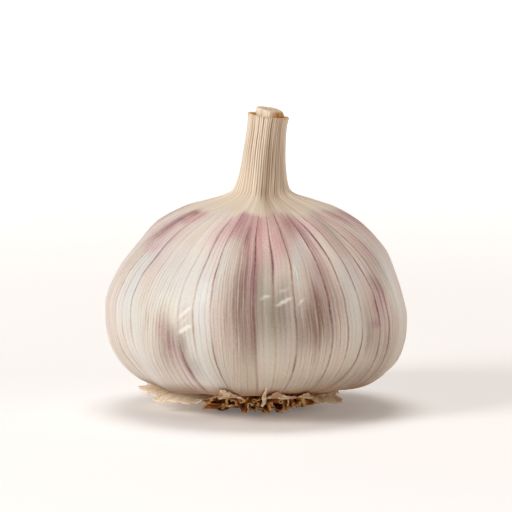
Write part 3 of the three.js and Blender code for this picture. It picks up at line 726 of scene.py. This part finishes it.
def make_skin():
    radius, height, length = outline_rows()
    columns = column_azimuths()
    azimuth = np.radians(drawn_azimuth(columns, height))

    groove = groove_pattern(columns, height)
    on_neck = smoothstep(height, *NECK_START)
    out, down = swelling(azimuth, radius, height)
    points = around(azimuth, radius + out, height - down)
    veins = vein_pattern(columns, height)
    creases = crease_relief(columns, height)
    fibre = draw(np.arange(columns.size), 14) - 0.5
    on_skin = smoothstep(radius, *RELIEF_RADII)
    relief = VEIN_RELIEF * veins + creases + FIBRE_RELIEF * fibre * on_skin
    for depth, size, seed in UNEVENNESS:
        relief = relief + depth * wander(points, size, seed) * on_skin
    relief = relief - GROOVE_DEPTH * (groove - CREST_LIFT * on_neck)
    points = points + normals_of(points) * relief[..., None]
    grid = cut_rim(points, azimuth, height, fibre)
    inside = len(grid) - len(points)

    def extend(values, fill):
        """Values on the outside, and one value for all rows inside the rim."""
        values = np.broadcast_to(values, points.shape[:2])
        return np.concatenate([values, np.full((inside, columns.size), fill)]).ravel()

    straight = np.radians(columns)
    grain = (GRAIN_RADIUS * np.cos(straight), GRAIN_RADIUS * np.sin(straight), length)
    grain = np.stack(np.broadcast_arrays(*grain), -1)
    grain = np.concatenate([grain, np.repeat(grain[-1:], inside, 0)]).reshape(-1, 3)
    attributes = {
        "grain": grain,
        "vein": extend(veins, 0),
        "painted_crease_highlight": extend(creases, 0),
        "rim": extend(0.6 * (height == height[-1]), 1),
        "groove": extend(np.minimum(groove, 1.1), 0.3),
        "neck": extend(on_neck, 1),
        "height": extend(height, RIM_HEIGHT),
    }
    for kind, mask in colour_masks(columns, height).items():
        attributes[kind] = extend(mask, 0)
    ends = [around(0, 0, level) for level in (OUTLINE[0][1], SOCKET["floor"])]
    add_tube("garlic_skin", grid, ends, skin_material(), attributes, "bulb")


def skin_material():
    m = Material("papery_skin", roughness=0.46)
    grain = m.attribute("grain", "Vector")
    fine = m.noise(grain, 3.4, 3, 0.6, stretch=(1, 1, 0.03))
    strands = m.noise(grain, 1.2, stretch=(1, 1, 0.02))
    bands = m.noise(grain, 0.28, stretch=(1, 1, 0.05))
    cloud = m.noise(grain, 0.2, 4, 0.6, stretch=(1, 1, 0.7))
    tinge = m.noise(grain, 0.16, 3, stretch=(1, 1, 0.4))
    dashes = m.noise(grain, 1.6, 3, 0.7, stretch=(1, 1, 0.5))
    threads = m.noise(grain, 0.5, 3, 0.6, stretch=(1, 1, 0.03))
    speckle = m.noise(grain, 2.2, 4, 0.75)
    pale, low, grey_and_painted_shade, flush, lilac = map(m.attribute, ("pale", "low", "grey_and_painted_shade", "flush", "lilac"))
    brown, purple, lined, gold = map(m.attribute, ("brown", "purple", "lined", "gold"))
    vein, painted_crease_highlight, groove, neck = map(m.attribute, ("vein", "painted_crease_highlight", "groove", "neck"))

    # Veins are brown, purple where the skin is, and golden in places.
    ink = m.mix(m.span(m.math("MAXIMUM", flush, purple), 0.05, 0.6), (116, 70, 60), (104, 40, 54))
    ink = m.layers(ink, ((166, 122, 80), gold))
    # The neck is straw-coloured: cream crests and brown grooves, the brown partly painted shade in the grooves,
    # with a cream collar below them.
    collar = m.mix(m.span(threads, 0.38, 0.62), (225, 212, 194), (207, 190, 169))
    straw = m.mix(m.span(threads, 0.36, 0.62), (234, 220, 202), (206, 186, 160))
    straw = m.layers(straw, ((146, 113, 87), groove, m.span(strands, 0.3, 0.6, 0.8, 1)))
    blush = m.product(flush, m.span(speckle, 0.3, 0.7, 0.7, 1.15), m.span(strands, 0.32, 0.64, 0.85, 1.1))
    base = m.layers(
        m.mix(m.span(bands, 0.35, 0.66), (220, 210, 199), (208, 193, 180)),
        ((212, 200, 197), m.span(cloud, 0.4, 0.64, 0, 0.6)),
        ((203, 202, 186), m.span(tinge, 0.46, 0.64, 0, 0.6)),
        ((208, 210, 206), pale, m.span(cloud, 0.3, 0.6, 0.75, 1)),
        # Painted shade low down.
        ((182, 166, 145), low),
        # Grey of the thin skin, partly painted shade.
        ((120, 110, 97), grey_and_painted_shade, m.span(strands, 0.3, 0.66, 0.7, 0.95)),
        ((184, 116, 120), blush, m.span(bands, 0.3, 0.6, 0.75, 1), 0.76),
        ((188, 146, 166), lilac, 0.5),
        # Brown blotches, and painted shade near the base.
        ((110, 80, 60), brown, m.span(strands, 0.3, 0.65, 0.6, 1), 0.97),
        ((122, 62, 72), purple, m.span(strands, 0.34, 0.62, 0.25, 1.15), 0.8),
        ((158, 126, 102), m.span(fine, 0.52, 0.66), m.span(lined, 0, 1, 0.12, 0.42)),
        ((230, 220, 204), m.span(fine, 0.48, 0.34), m.span(lined, 0, 1, 0.12, 0.36)),
        ((166, 130, 122), m.span(speckle, 0.52, 0.74, 0, 0.26)),
        ((232, 228, 216), m.span(speckle, 0.48, 0.26, 0, 0.2)),
        (ink, vein, m.span(dashes, 0.32, 0.58, 0.62, 1.2), 0.95),
        # Painted highlight along the creases.
        ((240, 237, 230), m.span(painted_crease_highlight, 0.02, 0.14, 0, 0.55)),
        (collar, m.attribute("collar"), 0.9),
        (straw, neck),
        # Painted shade on the neck and the collar.
        ((138, 108, 79), m.attribute("painted_neck_shade"), m.span(threads, 0.3, 0.65, 0.5, 0.9)),
        ((208, 172, 122), m.attribute("rim"), 0.9),
        # Darker brown towards the base: painted contact shade where the skin meets the roots, over the skin's
        # browner lip.
        ((146, 102, 56), m.span(m.attribute("height"), 8.4, 5.8, 0, 0.88)),
    )
    rough = m.math("ADD", m.span(speckle, 0.3, 0.7, 0.4, 0.54), m.product(neck, 0.14))
    m.feed(m.shader["Roughness"], rough)
    return m.finish(base, [(fine, 0.03), (strands, 0.035), (speckle, 0.025)], {"weight": 0.1, "depth": 0.8})


# ---------------------------------------------------------------- the flower stem's cut end

CORE = {
    "radius": 2.78, "shift": 0.27, "foot": 53.4, "high_side": 60.4,
    "low_side": 59.35, "front_drop": 0.22, "edge": 0.28,
}
CORE_COLUMNS = 180
CORE_ROWS = 22
CORE_WEAR = 0.06  # the side lies this much inside the CAD core's
CORE_ROUNDING = 0.22  # how much lower its right edge is
CORE_EDGE_ROWS = [(0.05, 0.1), (0.13, 0.03), (0.25, 0)]  # millimetres inwards and down
CORE_END_ROWS = {"inset": 0.45, "last": 0.12, "count": 12}
CORE_DIMPLE = {"radius": 0.8, "depth": 0.1}
CORE_PITS = [(0.07, 0.9, 60), (0.04, 0.35, 70)]  # depth, size, seed
CORE_GRAIN = 2.7  # radius that its texture is laid out at


def make_core():
    azimuth = np.linspace(0, 2 * math.pi, CORE_COLUMNS, endpoint=False)
    strand = draw(np.arange(CORE_COLUMNS) // 2, 21) - 0.5
    ridge = 0.05 * np.cos(azimuth * 23 + 1.5 * np.sin(azimuth * 3)) + 0.05 * strand
    rows, side = [], []

    def top_height(radius):
        right = np.sin(azimuth) * radius / CORE["radius"]
        front = np.cos(azimuth) * radius / CORE["radius"]
        slant = lerp(CORE["high_side"], CORE["low_side"], (1 + right) / 2) - CORE["front_drop"] * front
        return slant - CORE_ROUNDING * smoothstep(right, 0.7, 1) ** 1.5

    def add_row(radius, height, share):
        rows.append(around(azimuth, radius, height) + np.array([CORE["shift"], 0, 0]))
        side.append(np.full(CORE_COLUMNS, share))

    top = top_height(CORE["radius"]) - CORE["edge"]
    for share in np.linspace(0, 1, CORE_ROWS):
        height = lerp(CORE["foot"], top, share)
        wave = 0.04 * np.sin(height * 2.1 + 3 * azimuth)
        add_row(CORE["radius"] - CORE_WEAR + ridge + wave, height, 1)
    for inset, lower in CORE_EDGE_ROWS:
        radius = CORE["radius"] - CORE_WEAR - inset + ridge * 0.8
        add_row(radius, top_height(radius) - lower, 0.5)
    inset, last, count = CORE_END_ROWS.values()
    for radius in np.linspace(CORE["radius"] - inset, last, count):
        add_row(radius, top_height(radius), 0)
        pits = sum(depth * wander(rows[-1], size, seed) for depth, size, seed in CORE_PITS)
        rows[-1][:, 2] += pits - CORE_DIMPLE["depth"] * (radius < CORE_DIMPLE["radius"])
    grid = np.stack(rows)
    spread = np.tile(azimuth, len(grid))
    attributes = {
        "grain": np.stack([CORE_GRAIN * np.cos(spread), CORE_GRAIN * np.sin(spread), grid[..., 2].ravel()], -1),
        "side": np.concatenate(side),
        "golden": smoothstep(np.sin(spread - 0.25), -0.55, 0.45),
    }
    ends = [grid[0].mean(0), grid[-1].mean(0)]
    add_tube("cut_stem", grid, ends, core_material(), attributes, "stem_core")


def core_material():
    m = Material("stem_core", roughness=0.7)
    stripe = m.noise(m.attribute("grain", "Vector"), 3.2, 3, 0.65, stretch=(1, 1, 0.06))
    mottle = m.noise(m.position(), 1900, 4, 0.65)
    stripes = m.span(stripe, 0.38, 0.62)
    pale = m.mix(stripes, (240, 232, 216), (218, 196, 170))
    golden = m.mix(stripes, (202, 158, 98), (164, 114, 58))
    end = m.mix(m.span(mottle, 0.36, 0.6), (220, 206, 182), (190, 164, 134))
    end = m.layers(end, ((236, 222, 202), m.span(mottle, 0.55, 0.72)))
    side = m.mix(m.attribute("golden"), pale, golden)
    base = m.mix(m.span(m.attribute("side"), 0.2, 0.7), end, side)
    return m.finish(base, [(stripe, 0.12), (mottle, 0.08)])


# ---------------------------------------------------------------- dried roots

PLATE = [(0.01, 1.9), (5.5, 2.1), (8.4, 2.8), (10.4, 3.3), (10.6, 3.7), (8.5, 4), (6.8, 5.4), (0.01, 5.7)]
PLATE_COLUMNS = 96
PLATE_LIGHT = 0.08
# Rings of dried roots, from the middle outwards: how many, where they leave the plate as (radius,
# height), their lean there and further out, how far their ends curl up, their length, width and painted light,
# lower for the inner rings as painted shade.
ROOT_RINGS = [
    (5, (0.4, 2.9), (10, 4), 0, 2.7, 2.6, 0),
    (9, (2.4, 2.8), (26, 30), 5, 3, 3, 0),
    (14, (4.6, 2.7), (48, 56), 10, 3.5, 3.4, 0.05),
    (19, (6.4, 2.8), (60, 66), 10, 4, 3.6, 0.1),
    (24, (8.4, 3.1), (72, 76), 8, 4.5, 3.4, 0.15),
    (26, (9, 3.8), (84, 70), 5, 4.2, 3.2, 0.2),
]
FRONT_LIFT = 3  # degrees further outwards that the outer roots lean in front
ROOT_ROWS = 18
ROOT_COLUMNS = 17
ROOT_THICKNESS = 0.24
FLOOR_GAP = 0.01  # between the floor and the lowest roots
# What each root's own size is drawn from: factors, and for the roll radians from edge to edge.
ROOT_CHANCE = {"length": (0.86, 1.12), "width": (0.8, 1.12), "curl": (0.2, 1.6), "roll": (0.9, 2.3)}


def root_ribbon(ring, k, series):
    """One shrivelled root: a folded, twisting ribbon with a torn end. Also the painted light and shade at each
    point, with some random tone.
    """
    count, (radius, foot), leans, curl, length, width, light = ring

    def chance(number, low=0, high=1):
        return lerp(low, high, draw(k, series + number))

    azimuth = 2 * math.pi * (k + 0.5 * (chance(0) - 0.5)) / count
    outwards = np.array([math.sin(azimuth), -math.cos(azimuth), 0])
    sideways = np.array([math.cos(azimuth), math.sin(azimuth), 0])
    s = np.linspace(-1, 1, ROOT_COLUMNS)[None, :, None]
    t = np.linspace(0, 1, ROOT_ROWS)[:, None, None]
    along = t[:, 0]

    lean = [math.radians(angle + 14 * (chance(1 + c) - 0.5)) for c, angle in enumerate(leans)]
    outer = max(0, math.cos(azimuth)) ** 2 * smoothstep(radius, 6, 8)
    curl = curl * chance(17, *ROOT_CHANCE["curl"]) * smoothstep(along, 0.6, 1)
    bend = lerp(*lean, along**0.8) + np.radians(FRONT_LIFT * outer + curl)
    swing = 0.9 * (chance(3) - 0.5) + 0.55 * np.sin(along * (4 + 4 * chance(4)) + 6 * chance(5))
    step = outwards * np.sin(bend) - np.array([0, 0, 1]) * np.cos(bend) + sideways * swing
    start = outwards * radius + np.array([LEAN[0][1], 0, foot + 0.3 * (chance(7) - 0.5)])
    path = start + np.cumsum(step, 0) * (length * chance(6, *ROOT_CHANCE["length"])) / ROOT_ROWS

    heading = unit(np.gradient(path, axis=0))
    across = unit(sideways - heading * (heading @ sideways)[:, None])
    facing = np.cross(across, heading)
    twist = 2.4 * (chance(8) - 0.5) + 1.2 * (chance(9) - 0.5) * np.sin(along * 3.5)
    turned, raised = np.cos(twist), np.sin(twist)
    across, facing = across * turned + facing * raised, facing * turned - across * raised

    # Across its width the root rolls up into a hook or an S, more tightly towards its end.
    roll = chance(10, *ROOT_CHANCE["roll"]) * (-1 if chance(11) < 0.5 else 1)
    wave = 2.2 * (chance(12) - 0.5)
    middles = (s[:, 1:] + s[:, :-1]) / 2
    angle = (roll * middles + wave * np.cos(math.pi * middles)) * (0.35 + 0.65 * t)
    crinkle = np.sin(t * 15 + 6 * chance(13) + 2 * s)
    half = width / 2 * chance(14, *ROOT_CHANCE["width"])
    half = half * (0.75 + 0.3 * np.sin(math.pi * np.minimum(t * 1.15, 1)))
    profile = []
    for run in (np.cos(angle), np.sin(angle)):
        run = np.concatenate([0 * t, np.cumsum(run, 1) * 2 / (ROOT_COLUMNS - 1)], 1)
        profile.append((run - run.mean(1, keepdims=True)) * half)
    torn = 1 - 0.16 * draw(np.arange(ROOT_COLUMNS), series + 15 + k)[None, :, None] * t**3
    points = path[:1, None] + (path[:, None] - path[:1, None]) * torn
    points = points + across[:, None] * profile[0] + facing[:, None] * (profile[1] + 0.08 * crinkle)
    points = points + 0.1 * drift(points, 1, 80, 10)
    # Painted highlights on the edges, crinkles and torn end, and painted shade towards the plate.
    light = light + 0.35 * np.abs(s) ** 6 + 0.1 * crinkle + 0.2 * t + 0.6 * smoothstep(t, 0.78, 1)
    light = light + 0.3 * (chance(16) - 0.5)
    return points, np.clip(light[..., 0], 0, 1)


def thicken(points, thickness):
    """A thin closed sheet from a grid of points: its vertices and faces."""
    rows, columns = points.shape[:2]
    normal = unit(np.cross(np.gradient(points, axis=1), np.gradient(points, axis=0)))
    sides = [(points + sign * normal * thickness / 2).reshape(-1, 3) for sign in (1, -1)]
    count = rows * columns
    upper = np.array(grid_faces(rows, columns, closed=False))
    border = np.concatenate([
        np.arange(columns - 1),
        np.arange(rows - 1) * columns + columns - 1,
        (rows - 1) * columns + np.arange(columns - 1, 0, -1),
        np.arange(rows - 1, 0, -1) * columns,
    ])
    following = np.roll(border, -1)
    edge = np.stack([border, border + count, following + count, following], -1)
    return np.concatenate(sides), np.vstack([upper, upper[:, ::-1] + count, edge])


class Sheets:
    """Thin sheets and other grids gathered into one mesh, with a tone and a grain at each point."""

    def __init__(self):
        self.vertices, self.faces, self.tone, self.grain, self.count = [], [], [], [], 0

    def add(self, vertices, faces, tone, grain):
        self.vertices.append(vertices)
        self.faces.extend((np.asarray(faces) + self.count).tolist())
        self.tone.append(tone)
        self.grain.append(grain)
        self.count += len(vertices)

    def add_sheet(self, points, tone, thickness):
        """Adds a grid of points as a sheet. Its grain runs along the grid's rows."""
        rows, columns = points.shape[:2]
        along = np.linalg.norm(points[-1, columns // 2] - points[0, columns // 2])
        across = arc_length(points[-1])[-1]
        u, v = np.meshgrid(np.linspace(0, across, columns), np.linspace(0, along, rows))
        grain = np.stack([u + 17 * len(self.tone), v, 0 * u], -1).reshape(-1, 3)
        self.add(*thicken(points, thickness), np.tile(tone.ravel(), 2), np.tile(grain, (2, 1)))

    def make(self, name, material, node):
        tone = np.clip(np.concatenate(self.tone), 0, 1)
        attributes = {"tone": tone, "grain": np.concatenate(self.grain)}
        add_piece(name, np.vstack(self.vertices), self.faces, material, attributes, node)


def make_roots():
    roots = Sheets()
    angle = np.linspace(0, 2 * math.pi, PLATE_COLUMNS, endpoint=False)
    radius, height = catmull_rom(PLATE, 6).T[..., None]
    plate = (LEAN[0][1] + radius * np.sin(angle), -radius * np.cos(angle), height)
    plate = np.stack(np.broadcast_arrays(*plate), -1)
    plate[1:-1] += 0.1 * wander(plate[1:-1], 1.3, 90)[..., None]
    flat = plate.reshape(-1, 3)
    roots.add(flat, grid_faces(len(plate), PLATE_COLUMNS), np.full(len(flat), PLATE_LIGHT), flat)
    for number, ring in enumerate(ROOT_RINGS):
        for k in range(ring[0]):
            points, light = root_ribbon(ring, k, 200 + 40 * number)
            points[..., 2] = np.maximum(points[..., 2], ROOT_THICKNESS / 2 + FLOOR_GAP)
            roots.add_sheet(points, light, ROOT_THICKNESS)
    roots.make("dried_roots", root_material(), "root_tuft")


def root_material():
    m = Material("dried_roots", roughness=0.7)
    mottle = m.noise(m.position(), 900, 4, 0.7)
    fibre = m.noise(m.attribute("grain", "Vector"), 1.6, 3, 0.6, stretch=(3.2, 0.5, 1))
    # The colour follows the painted light: dark brown in painted shade, tan under painted highlights.
    light = m.math("ADD", m.attribute("tone"), m.span(mottle, 0.3, 0.7, -0.22, 0.22))
    base = m.layers(
        m.mix(m.span(light, 0.05, 0.4), (56, 19, 0), (156, 87, 22)),
        ((220, 158, 84), m.span(light, 0.4, 0.72)),
        ((236, 194, 132), m.span(light, 0.72, 1.05)),
        ((116, 62, 16), m.span(fibre, 0.5, 0.7, 0, 0.45)),
    )
    return m.finish(base, [(fibre, 0.12), (mottle, 0.1)])


# ---------------------------------------------------------------- torn ends of the outermost skin

SKIN_THICKNESS = 0.16
LEAF_ROWS = 26
LEAF_ROOT = {"radius": 7.65, "height": 4.25}
LEAF_HUG = 0.8  # of the way out, where a layer still lies close under the bulb
LEAF_SPACING = 0.16  # between the points along a layer's torn edge
# How far a layer starts above the usual height, how high it stays on its way out, how deeply its edge
# is torn and ruffled, and how light it is.
LEAF = {"lift": 0, "hug": 5, "bite": 0.45, "ruffle": 0.2, "tone": 0.5}
STRIP_COLUMNS = 14
STRIP_FLOOR = 0.1  # no strip reaches lower


def leaf_points(leaf):
    """A layer of skin from its root ring, close under the bulb, to a torn edge. Also its tone, with painted
    shade near the root.
    """
    leaf = {**LEAF, **leaf}
    edge = catmull_rom(leaf["edge"], 20)
    length = arc_length(edge)[-1]
    columns = max(12, int(length / LEAF_SPACING))
    at = np.linspace(0, length, columns)
    edge = at_lengths(edge, at)
    seed = leaf["seed"]
    k = np.arange(columns)

    centre = np.array([LEAN[0][1], 0, 0])
    azimuth = np.radians(np.linspace(*leaf["root"], columns))
    outwards = np.stack([np.sin(azimuth), -np.cos(azimuth), 0 * azimuth], -1)
    root = centre + LEAF_ROOT["radius"] * outwards
    root[:, 2] = LEAF_ROOT["height"] + leaf["lift"]
    teeth = leaf["bite"] * (draw(k // 5, seed) + 0.6 * draw(k // 2, seed + 1) + 0.4 * draw(k, seed + 2) - 1)
    edge = edge + unit((edge - root) * (1, 1, 0)) * teeth[:, None]
    hug = centre + (edge - centre) * LEAF_HUG
    hug[:, 2] = leaf["hug"]

    t = np.linspace(0, 1, LEAF_ROWS)[:, None, None]
    along = t[..., 0]
    points = (1 - t) ** 2 * root + 2 * t * (1 - t) * hug + t * t * edge
    ruffle = leaf["ruffle"] * np.sin(at * 1.9 + 6 * draw(seed, 3) + 1.5 * np.sin(at * 0.7))
    ruffle = ruffle + 0.05 * np.sin(at * 6.1 + 6 * draw(seed, 4))
    points[..., 2] += ruffle * along**2
    points = points + 0.14 * t**2 * drift(points, 2.2, 100 + seed)
    tone = leaf["tone"] + 0.12 * np.sin(at * 1.3 + seed)
    # Darker near the root, as painted shade under the bulb, and darker at the torn edge.
    return points, tone - 0.3 * (1 - along) ** 2 - 0.25 * along**6


def strip_points(strip):
    """A curled strip of skin along a line of points, with a width at each and a bulge across."""
    line = catmull_rom(strip["line"], 8)
    path, width = line[:, :3], line[:, 3:4]
    heading = unit(np.gradient(path, axis=0))
    side = unit(np.cross(heading, strip["facing"]))
    out = np.cross(side, heading)
    s = np.linspace(-1, 1, STRIP_COLUMNS)[None, :]
    ragged = 1 + 0.3 * (draw(np.arange(len(path)) // 2, strip["seed"])[:, None] - 0.5)
    bulge = strip["bulge"] * np.cos(math.pi * s / 2) * np.minimum(width, 1.5)
    points = path[:, None] + (side * width / 2)[:, None] * (s * ragged)[..., None]
    points = points + out[:, None] * bulge[..., None]
    points = points + 0.1 * drift(points, 1.4, 130 + strip["seed"])
    points[..., 2] = np.maximum(points[..., 2], STRIP_FLOOR)
    return points, strip["tone"] - 0.2 * np.abs(s) + 0 * width


def make_torn_skin(name, node, material, leaves, strips=()):
    sheets = Sheets()
    for points, tone in [*map(leaf_points, leaves), *map(strip_points, strips)]:
        sheets.add_sheet(points, tone, SKIN_THICKNESS)
    sheets.make(name, material, node)


def torn_skin_material():
    m = Material("torn_skin", roughness=0.5)
    fibre = m.noise(m.attribute("grain", "Vector"), 1.6, 3, 0.65, stretch=(2.6, 0.16, 1))
    mottle = m.noise(m.position(), 420, 3)
    tone = m.math("ADD", m.attribute("tone"), m.span(mottle, 0.3, 0.7, -0.2, 0.2))
    base = m.layers(
        m.mix(m.span(tone, 0.1, 0.5), (160, 120, 83), (223, 199, 165)),
        ((255, 233, 205), m.span(tone, 0.5, 0.9)),
        ((186, 141, 106), m.span(fibre, 0.47, 0.65, 0, 0.6)),
        ((244, 236, 224), m.span(fibre, 0.48, 0.3, 0, 0.4)),
    )
    return m.finish(base, [(fibre, 0.08), (mottle, 0.05)], {"weight": 0.3, "depth": 0.8})


# Layers of torn skin: the azimuths that each leaves the root plate at, and its edge as (x, y, z).
# The first left layer's tone of 1.3 paints it lighter, as painted light on the lit left side.
LEFT_LEAVES = [
    {
        "root": (-132, -46), "seed": 3, "tone": 1.3, "bite": 0.5, "ruffle": 0.08,
        "edge": [
            (-17.5, 11, 4.9), (-20.2, 7, 5.3), (-21.5, 4.6, 4.9), (-21.9, 3.6, 4.5), (-21.2, 2.6, 4.1),
            (-22.2, 2, 4.1), (-23.4, 1.2, 4.2), (-23.1, -0.4, 3.7), (-22, -2.3, 2.9), (-21.1, -2.7, 3),
            (-20.3, -3.1, 3), (-19.9, -3.7, 2.7), (-20.5, -4.6, 2.25), (-19.6, -5.6, 2.3), (-18.4, -6.5, 2.3),
            (-17, -7.6, 2.5), (-15.4, -8.7, 2.6), (-14.4, -9.4, 2.4), (-13.4, -10.2, 2.3), (-12.6, -10.2, 2.6),
            (-11.9, -10.7, 2.6), (-10.8, -11.6, 3.5),
        ],
    },
    {
        "root": (-112, -50), "seed": 9, "tone": 0.95, "lift": -0.3, "hug": 4.6, "bite": 0.7, "ruffle": 0.05,
        "edge": [
            (-16.4, 7.5, 4.4), (-18.6, 4, 4.2), (-19.2, 0.5, 3.6), (-17.8, -3, 3.1), (-16.4, -5.4, 2.9),
            (-14.6, -7.2, 2.9), (-12.8, -8.6, 3), (-11.2, -9.6, 3.3),
        ],
    },
]
RIGHT_LEAVES = [
    {
        "root": (128, 50), "seed": 8, "tone": 0.56, "bite": 0.7, "hug": 4.4,
        "edge": [
            (11.6, 11.5, 3.8), (14.6, 7.8, 3.4), (16.6, 4, 2.6), (15.4, 1, 2.3), (17, -2, 1.75),
            (16.1, -3.5, 1.65), (15.2, -4.5, 1.65), (13.9, -6, 1.9), (12.8, -7, 2.4), (11.4, -8, 2.95),
            (10.4, -9, 3.3),
        ],
    },
    {
        "root": (122, 44), "seed": 17, "tone": 0.56, "lift": 0.15, "hug": 4.9,
        "edge": [
            (12.2, 9.5, 4.3), (15.2, 5, 4), (16.2, 0, 3.2), (14.6, -4, 3.1), (12.6, -7.2, 3.5),
            (10.6, -9.8, 3.8),
        ],
    },
]
BACK_LEAVES = [
    {
        "root": (222, 138), "seed": 5, "tone": 0.5, "bite": 0.8,
        "edge": [
            (-10.6, 12.2, 3.5), (-8.2, 14.6, 3.2), (-5, 15.2, 3), (-2.6, 16.8, 3), (0.4, 16.2, 3.3),
            (3, 17, 3.1), (5.6, 15.2, 3.2), (8.4, 14.2, 3.4), (11, 12.2, 3.6),
        ],
    },
    {
        "root": (214, 146), "seed": 21, "tone": 0.66, "lift": -0.3, "hug": 4.5, "bite": 0.7,
        "edge": [
            (-7.6, 11.6, 3), (-4.6, 13.6, 2.6), (-1, 13.2, 2.7), (2.4, 14.4, 2.6), (5.2, 13, 2.9),
            (8, 11.4, 3.1),
        ],
    },
]
FRONT_LEAVES = [
    {
        "root": (-56, -22), "seed": 12, "tone": 0.52, "bite": 0.35, "ruffle": 0.06, "hug": 4.9,
        "edge": [(-12, -9.4, 3), (-10.8, -11.4, 3.5), (-9.4, -12.9, 4), (-7.6, -14.6, 4.5), (-6.2, -15.6, 4.8)],
    },
    {
        "root": (-34, -12), "seed": 31, "tone": 0.42, "bite": 0.3, "ruffle": 0.1, "hug": 4.1,
        "edge": [
            (-7.2, -19.6, 4.9), (-7.25, -22, 5.7), (-7.15, -24.1, 6.8), (-6.8, -25.1, 7.3), (-6.1, -25.3, 7.5),
            (-5.2, -24.8, 7), (-4.2, -23.8, 6.4), (-3.4, -22.6, 5.8), (-2.3, -20.3, 5.1),
        ],
    },
    {
        "root": (14, 56), "seed": 26, "tone": 0.32, "bite": 0.3, "ruffle": 0.12, "hug": 3.9,
        "edge": [
            (2.2, -22.9, 5.8), (3.1, -24.6, 6.6), (4.1, -24.9, 6.8), (5.3, -23.5, 6.1), (6.7, -22.7, 5.9),
            (7.9, -21, 5.5), (8.9, -21, 5.8), (9.9, -21.6, 6.4), (10.5, -20, 5.6), (11.2, -16, 4.2),
        ],
    },
]
# A loose strip that clings to the front of the bulb, as (x, y, z, width) along it.
FRONT_STRIPS = [
    {
        "seed": 3, "tone": 0.45, "bulge": 0.2, "facing": (0, -0.7, -0.5),
        "line": [
            (1.3, -14.2, 2.4, 0.25), (1.35, -16, 3.2, 0.55), (1.65, -18.6, 4.2, 0.75), (1.5, -21.2, 5.1, 0.95),
            (1.6, -23.4, 6, 0.85), (1.95, -24.9, 7.1, 0.6), (2.1, -25.8, 8, 0.2),
        ],
    },
]

# ---------------------------------------------------------------- the whole scene

add_camera()
add_lights()
add_floor()
make_skin()
make_core()
make_roots()
torn_skin = torn_skin_material()
make_torn_skin("torn_skin_left", "skin_flap_left", torn_skin, LEFT_LEAVES)
make_torn_skin("torn_skin_right", "skin_flap_right", torn_skin, RIGHT_LEAVES)
make_torn_skin("torn_skin_back", "skin_flap_back", torn_skin, BACK_LEAVES)
make_torn_skin("torn_collar_front", "skin_collar_front", torn_skin, FRONT_LEAVES, FRONT_STRIPS)
